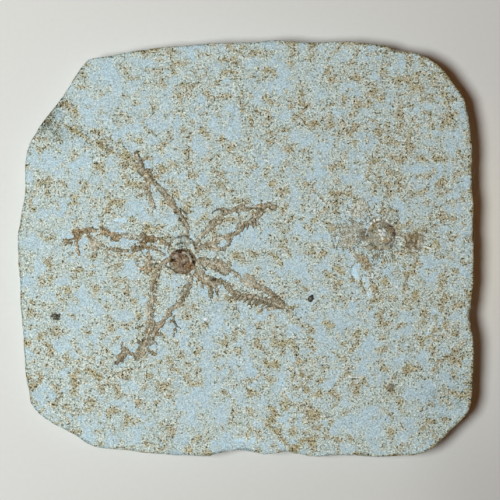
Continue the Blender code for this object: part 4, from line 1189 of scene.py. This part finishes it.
def stone_colour(g, area=0.3, stain=0.0, rust=0.0, clear=0.0):
    """Clear blue patches, grainy zones and brown clumps. The grain is strongest in the clumps."""
    sway = g.vector("SUBTRACT", g.noise("sway", out="Color"), (0.5, 0.5, 0.5))
    winding = g.vector("ADD", g.place, g.scaled(sway, 2.2))
    zone = g.total(g.noise("zone", winding), (area, 0.045))
    clump = g.total(g.noise("clump", winding), (area, 0.08), (zone, 0.3))
    core = g.step(clump, 0.64, 0.82)
    warm = g.total(0.03, (g.step(zone, 0.34, 0.62), 0.36), (core, 0.46), (stain, 0.16), (rust, 0.55),
                   (clear, -0.5), (g.noise("warm cloud"), 0.18))
    olive = g.times(g.step(g.noise("olive"), 0.5, 0.64), g.step(warm, 0.4, 0.9))
    hue = g.mix(g.times(olive, 0.35), g.ramp(warm, STONE_TONES), tone(*OLIVE_TONE))
    even, pit = g.grain()
    busy = g.step(g.total(0.0, (warm, 1.0), (stain, 0.25)), 0.05, 0.7)
    specks = g.times(even, g.total(0.46, (busy, 0.44)))
    pits = g.times(pit, g.total(0.05, (busy, 0.36)))
    light = g.total(0.052, (clear, 0.08), (specks, 1.0), (stain, -0.18), (pits, -1.0),
                    (g.noise("cloud"), 0.07))
    return g.lit(hue, light), core


def limestone():
    """Pale blue-grey limestone with ochre and brown grains and a few bright crystals."""
    g = Graph("limestone", 0.85, 0.25)
    stone, core = stone_colour(g, *g.fields("ochre", "stain", "rust", "clear"))
    rise = g.bump(g.noise("stone rise"), 0.2)
    return g.wear(stone, g.bump(g.times(core, g.noise("core rise")), 0.12, Normal=rise))


def crystal():
    """Small grains from dark brown to white calcite."""
    g = Graph("crystal", 0.45, 0.45)
    hue = g.ramp(g.total(0.5, (*g.fields("shade"), 0.5)), GRAIN_TONES)
    return g.wear(g.lit(hue, g.times(g.grain()[0], 0.4)), g.bump(g.noise("grain rise"), 0.1))


def fossil_calcite(name, vary, white, yellow):
    """Ochre to reddish brown calcite that gives way to the stone where it is thin."""
    g = Graph(name, 0.8, 0.28)
    dark, warm, red, pale, cover = g.fields("dark", "warm", "red", "pale", "cover")
    warmth = g.total(-0.5 * vary, (warm, 1.0), (g.noise("warmth"), vary))
    hue = g.mix(g.times(warmth, yellow, True), g.ramp(warmth, FOSSIL_TONES), tone(*YELLOW_TONE))
    hue = g.mix(g.times(red, 0.9, True), hue, tone(*RED_TONE))
    crumb = g.step(g.noise("crumb"), 0.54, 0.66)
    even, pit = g.grain()
    light = g.total(-0.05, (even, 0.75), (pit, -0.09), (g.noise("fossil cloud"), 0.2), (dark, -0.2),
                    (crumb, -0.08), (pale, 0.12))
    # white chalk specks, and the pale field, which on the feather star carries painted highlights
    chalk_and_highlight = g.total(0.0, (g.step(g.noise("chalk_and_highlight"), 0.57, 0.66), 0.35), (pale, 0.65))
    body = g.mix(g.times(chalk_and_highlight, 0.9, True), g.lit(hue, light), white)
    kept = g.step(g.total(cover, (g.noise("cover"), 1.8), (-0.9, 1.0)), 0.3, 0.55)
    return g.wear(g.mix(kept, stone_colour(g)[0], body), g.bump(g.noise("fossil rise"), 0.14))


def paper():
    """Pale matt paper under the slab, with painted light and shade on it: a falloff towards the lower right,
    a pool of light and a patch of shade beside the slab, and a glow far out.
    """
    g = Graph("paper", 0.9, 0.1)
    x, y = (g.node("SeparateXYZ", (g.place,), axis) for axis in (0, 1))
    # painted light falloff: the paper is darker towards the lower right
    fade = g.step(g.total(0.0, (x, 1.0), (y, -1.0)), *PAINTED_FALLOFF_SPAN)
    # painted pool of light right of the slab, lighter and warmer
    painted_light = g.step(g.away(PAINTED_LIGHT_MIDDLE), PAINTED_LIGHT_REACH, 0.0)
    # painted shade past the slab's lower right corner
    painted_shade = g.step(g.away(PAINTED_SHADE_MIDDLE), PAINTED_SHADE_REACH, 0.0)
    light = g.total(0.0, (fade, -0.06), (g.noise("fibre"), 0.02), (painted_light, 0.035), (painted_shade, -0.05))
    # painted glow: the far paper gives off the room's pale colour, so it does not go dark
    g.shader.inputs["Emission Color"].default_value = (*ROOM_COLOURS[0][1], 1.0)
    g.tree.links.new(g.step(g.away((0.0, 0.0, 0.0)), *PAINTED_GLOW_SPAN), g.shader.inputs["Emission Strength"])
    return g.wear(g.lit(g.mix(painted_light, *(tone(*colour) for colour in PAPER_AND_PAINTED_LIGHT_TONES)), light))


def build_floor():
    half = FLOOR_HALF * MM
    mesh = bpy.data.meshes.new("floor")
    corners = [(-half, -half, 0.0), (half, -half, 0.0), (half, half, 0.0), (-half, half, 0.0)]
    mesh.from_pydata(corners, [], [(0, 1, 2, 3)])
    mesh.materials.append(paper())
    floor = add_object("floor", mesh)


def build_lamp():
    """A soft lamp high above the left side of the slab."""
    data = bpy.data.lights.new("lamp", "AREA")
    data.shape = "DISK"
    data.size = LAMP_SIZE * MM
    data.energy = LAMP_POWER
    data.color = LAMP_COLOUR
    lamp = add_object("lamp", data)
    lamp.location = Vector(LAMP_PLACE) * MM
    lamp.rotation_euler = (-lamp.location).to_track_quat("-Z", "Y").to_euler()


def build_room():
    """Dim warm light from all round, paler along the horizon."""
    world = bpy.data.worlds.new("room")
    world.use_nodes = True
    nodes, links = world.node_tree.nodes, world.node_tree.links
    aim, axes, ramp = (nodes.new("ShaderNode" + kind) for kind in ("TexCoord", "SeparateXYZ", "ValToRGB"))
    links.new(aim.outputs["Generated"], axes.inputs[0])
    links.new(axes.outputs[2], ramp.inputs[0])
    links.new(ramp.outputs[0], nodes["Background"].inputs["Color"])
    for mark, (height, colour) in zip(ramp.color_ramp.elements, ROOM_COLOURS):
        mark.position = height
        mark.color = (*colour, 1.0)
    bpy.context.scene.world = world


def build_camera():
    data = bpy.data.cameras.new("camera")
    data.sensor_width = SENSOR
    data.lens = SENSOR * VIEW_HEIGHT / VIEW_WIDTH
    camera = add_object("camera", data)
    camera.location = Vector((*VIEW_CENTRE, SLAB_TOP + VIEW_HEIGHT)) * MM
    bpy.context.scene.camera = camera


build_slab()
build_grains()
build_feather_star()
build_pinnules()
build_urchin()
build_spines()
build_floor()
build_lamp()
build_room()
build_camera()
bpy.context.scene.view_settings.view_transform = "Standard"
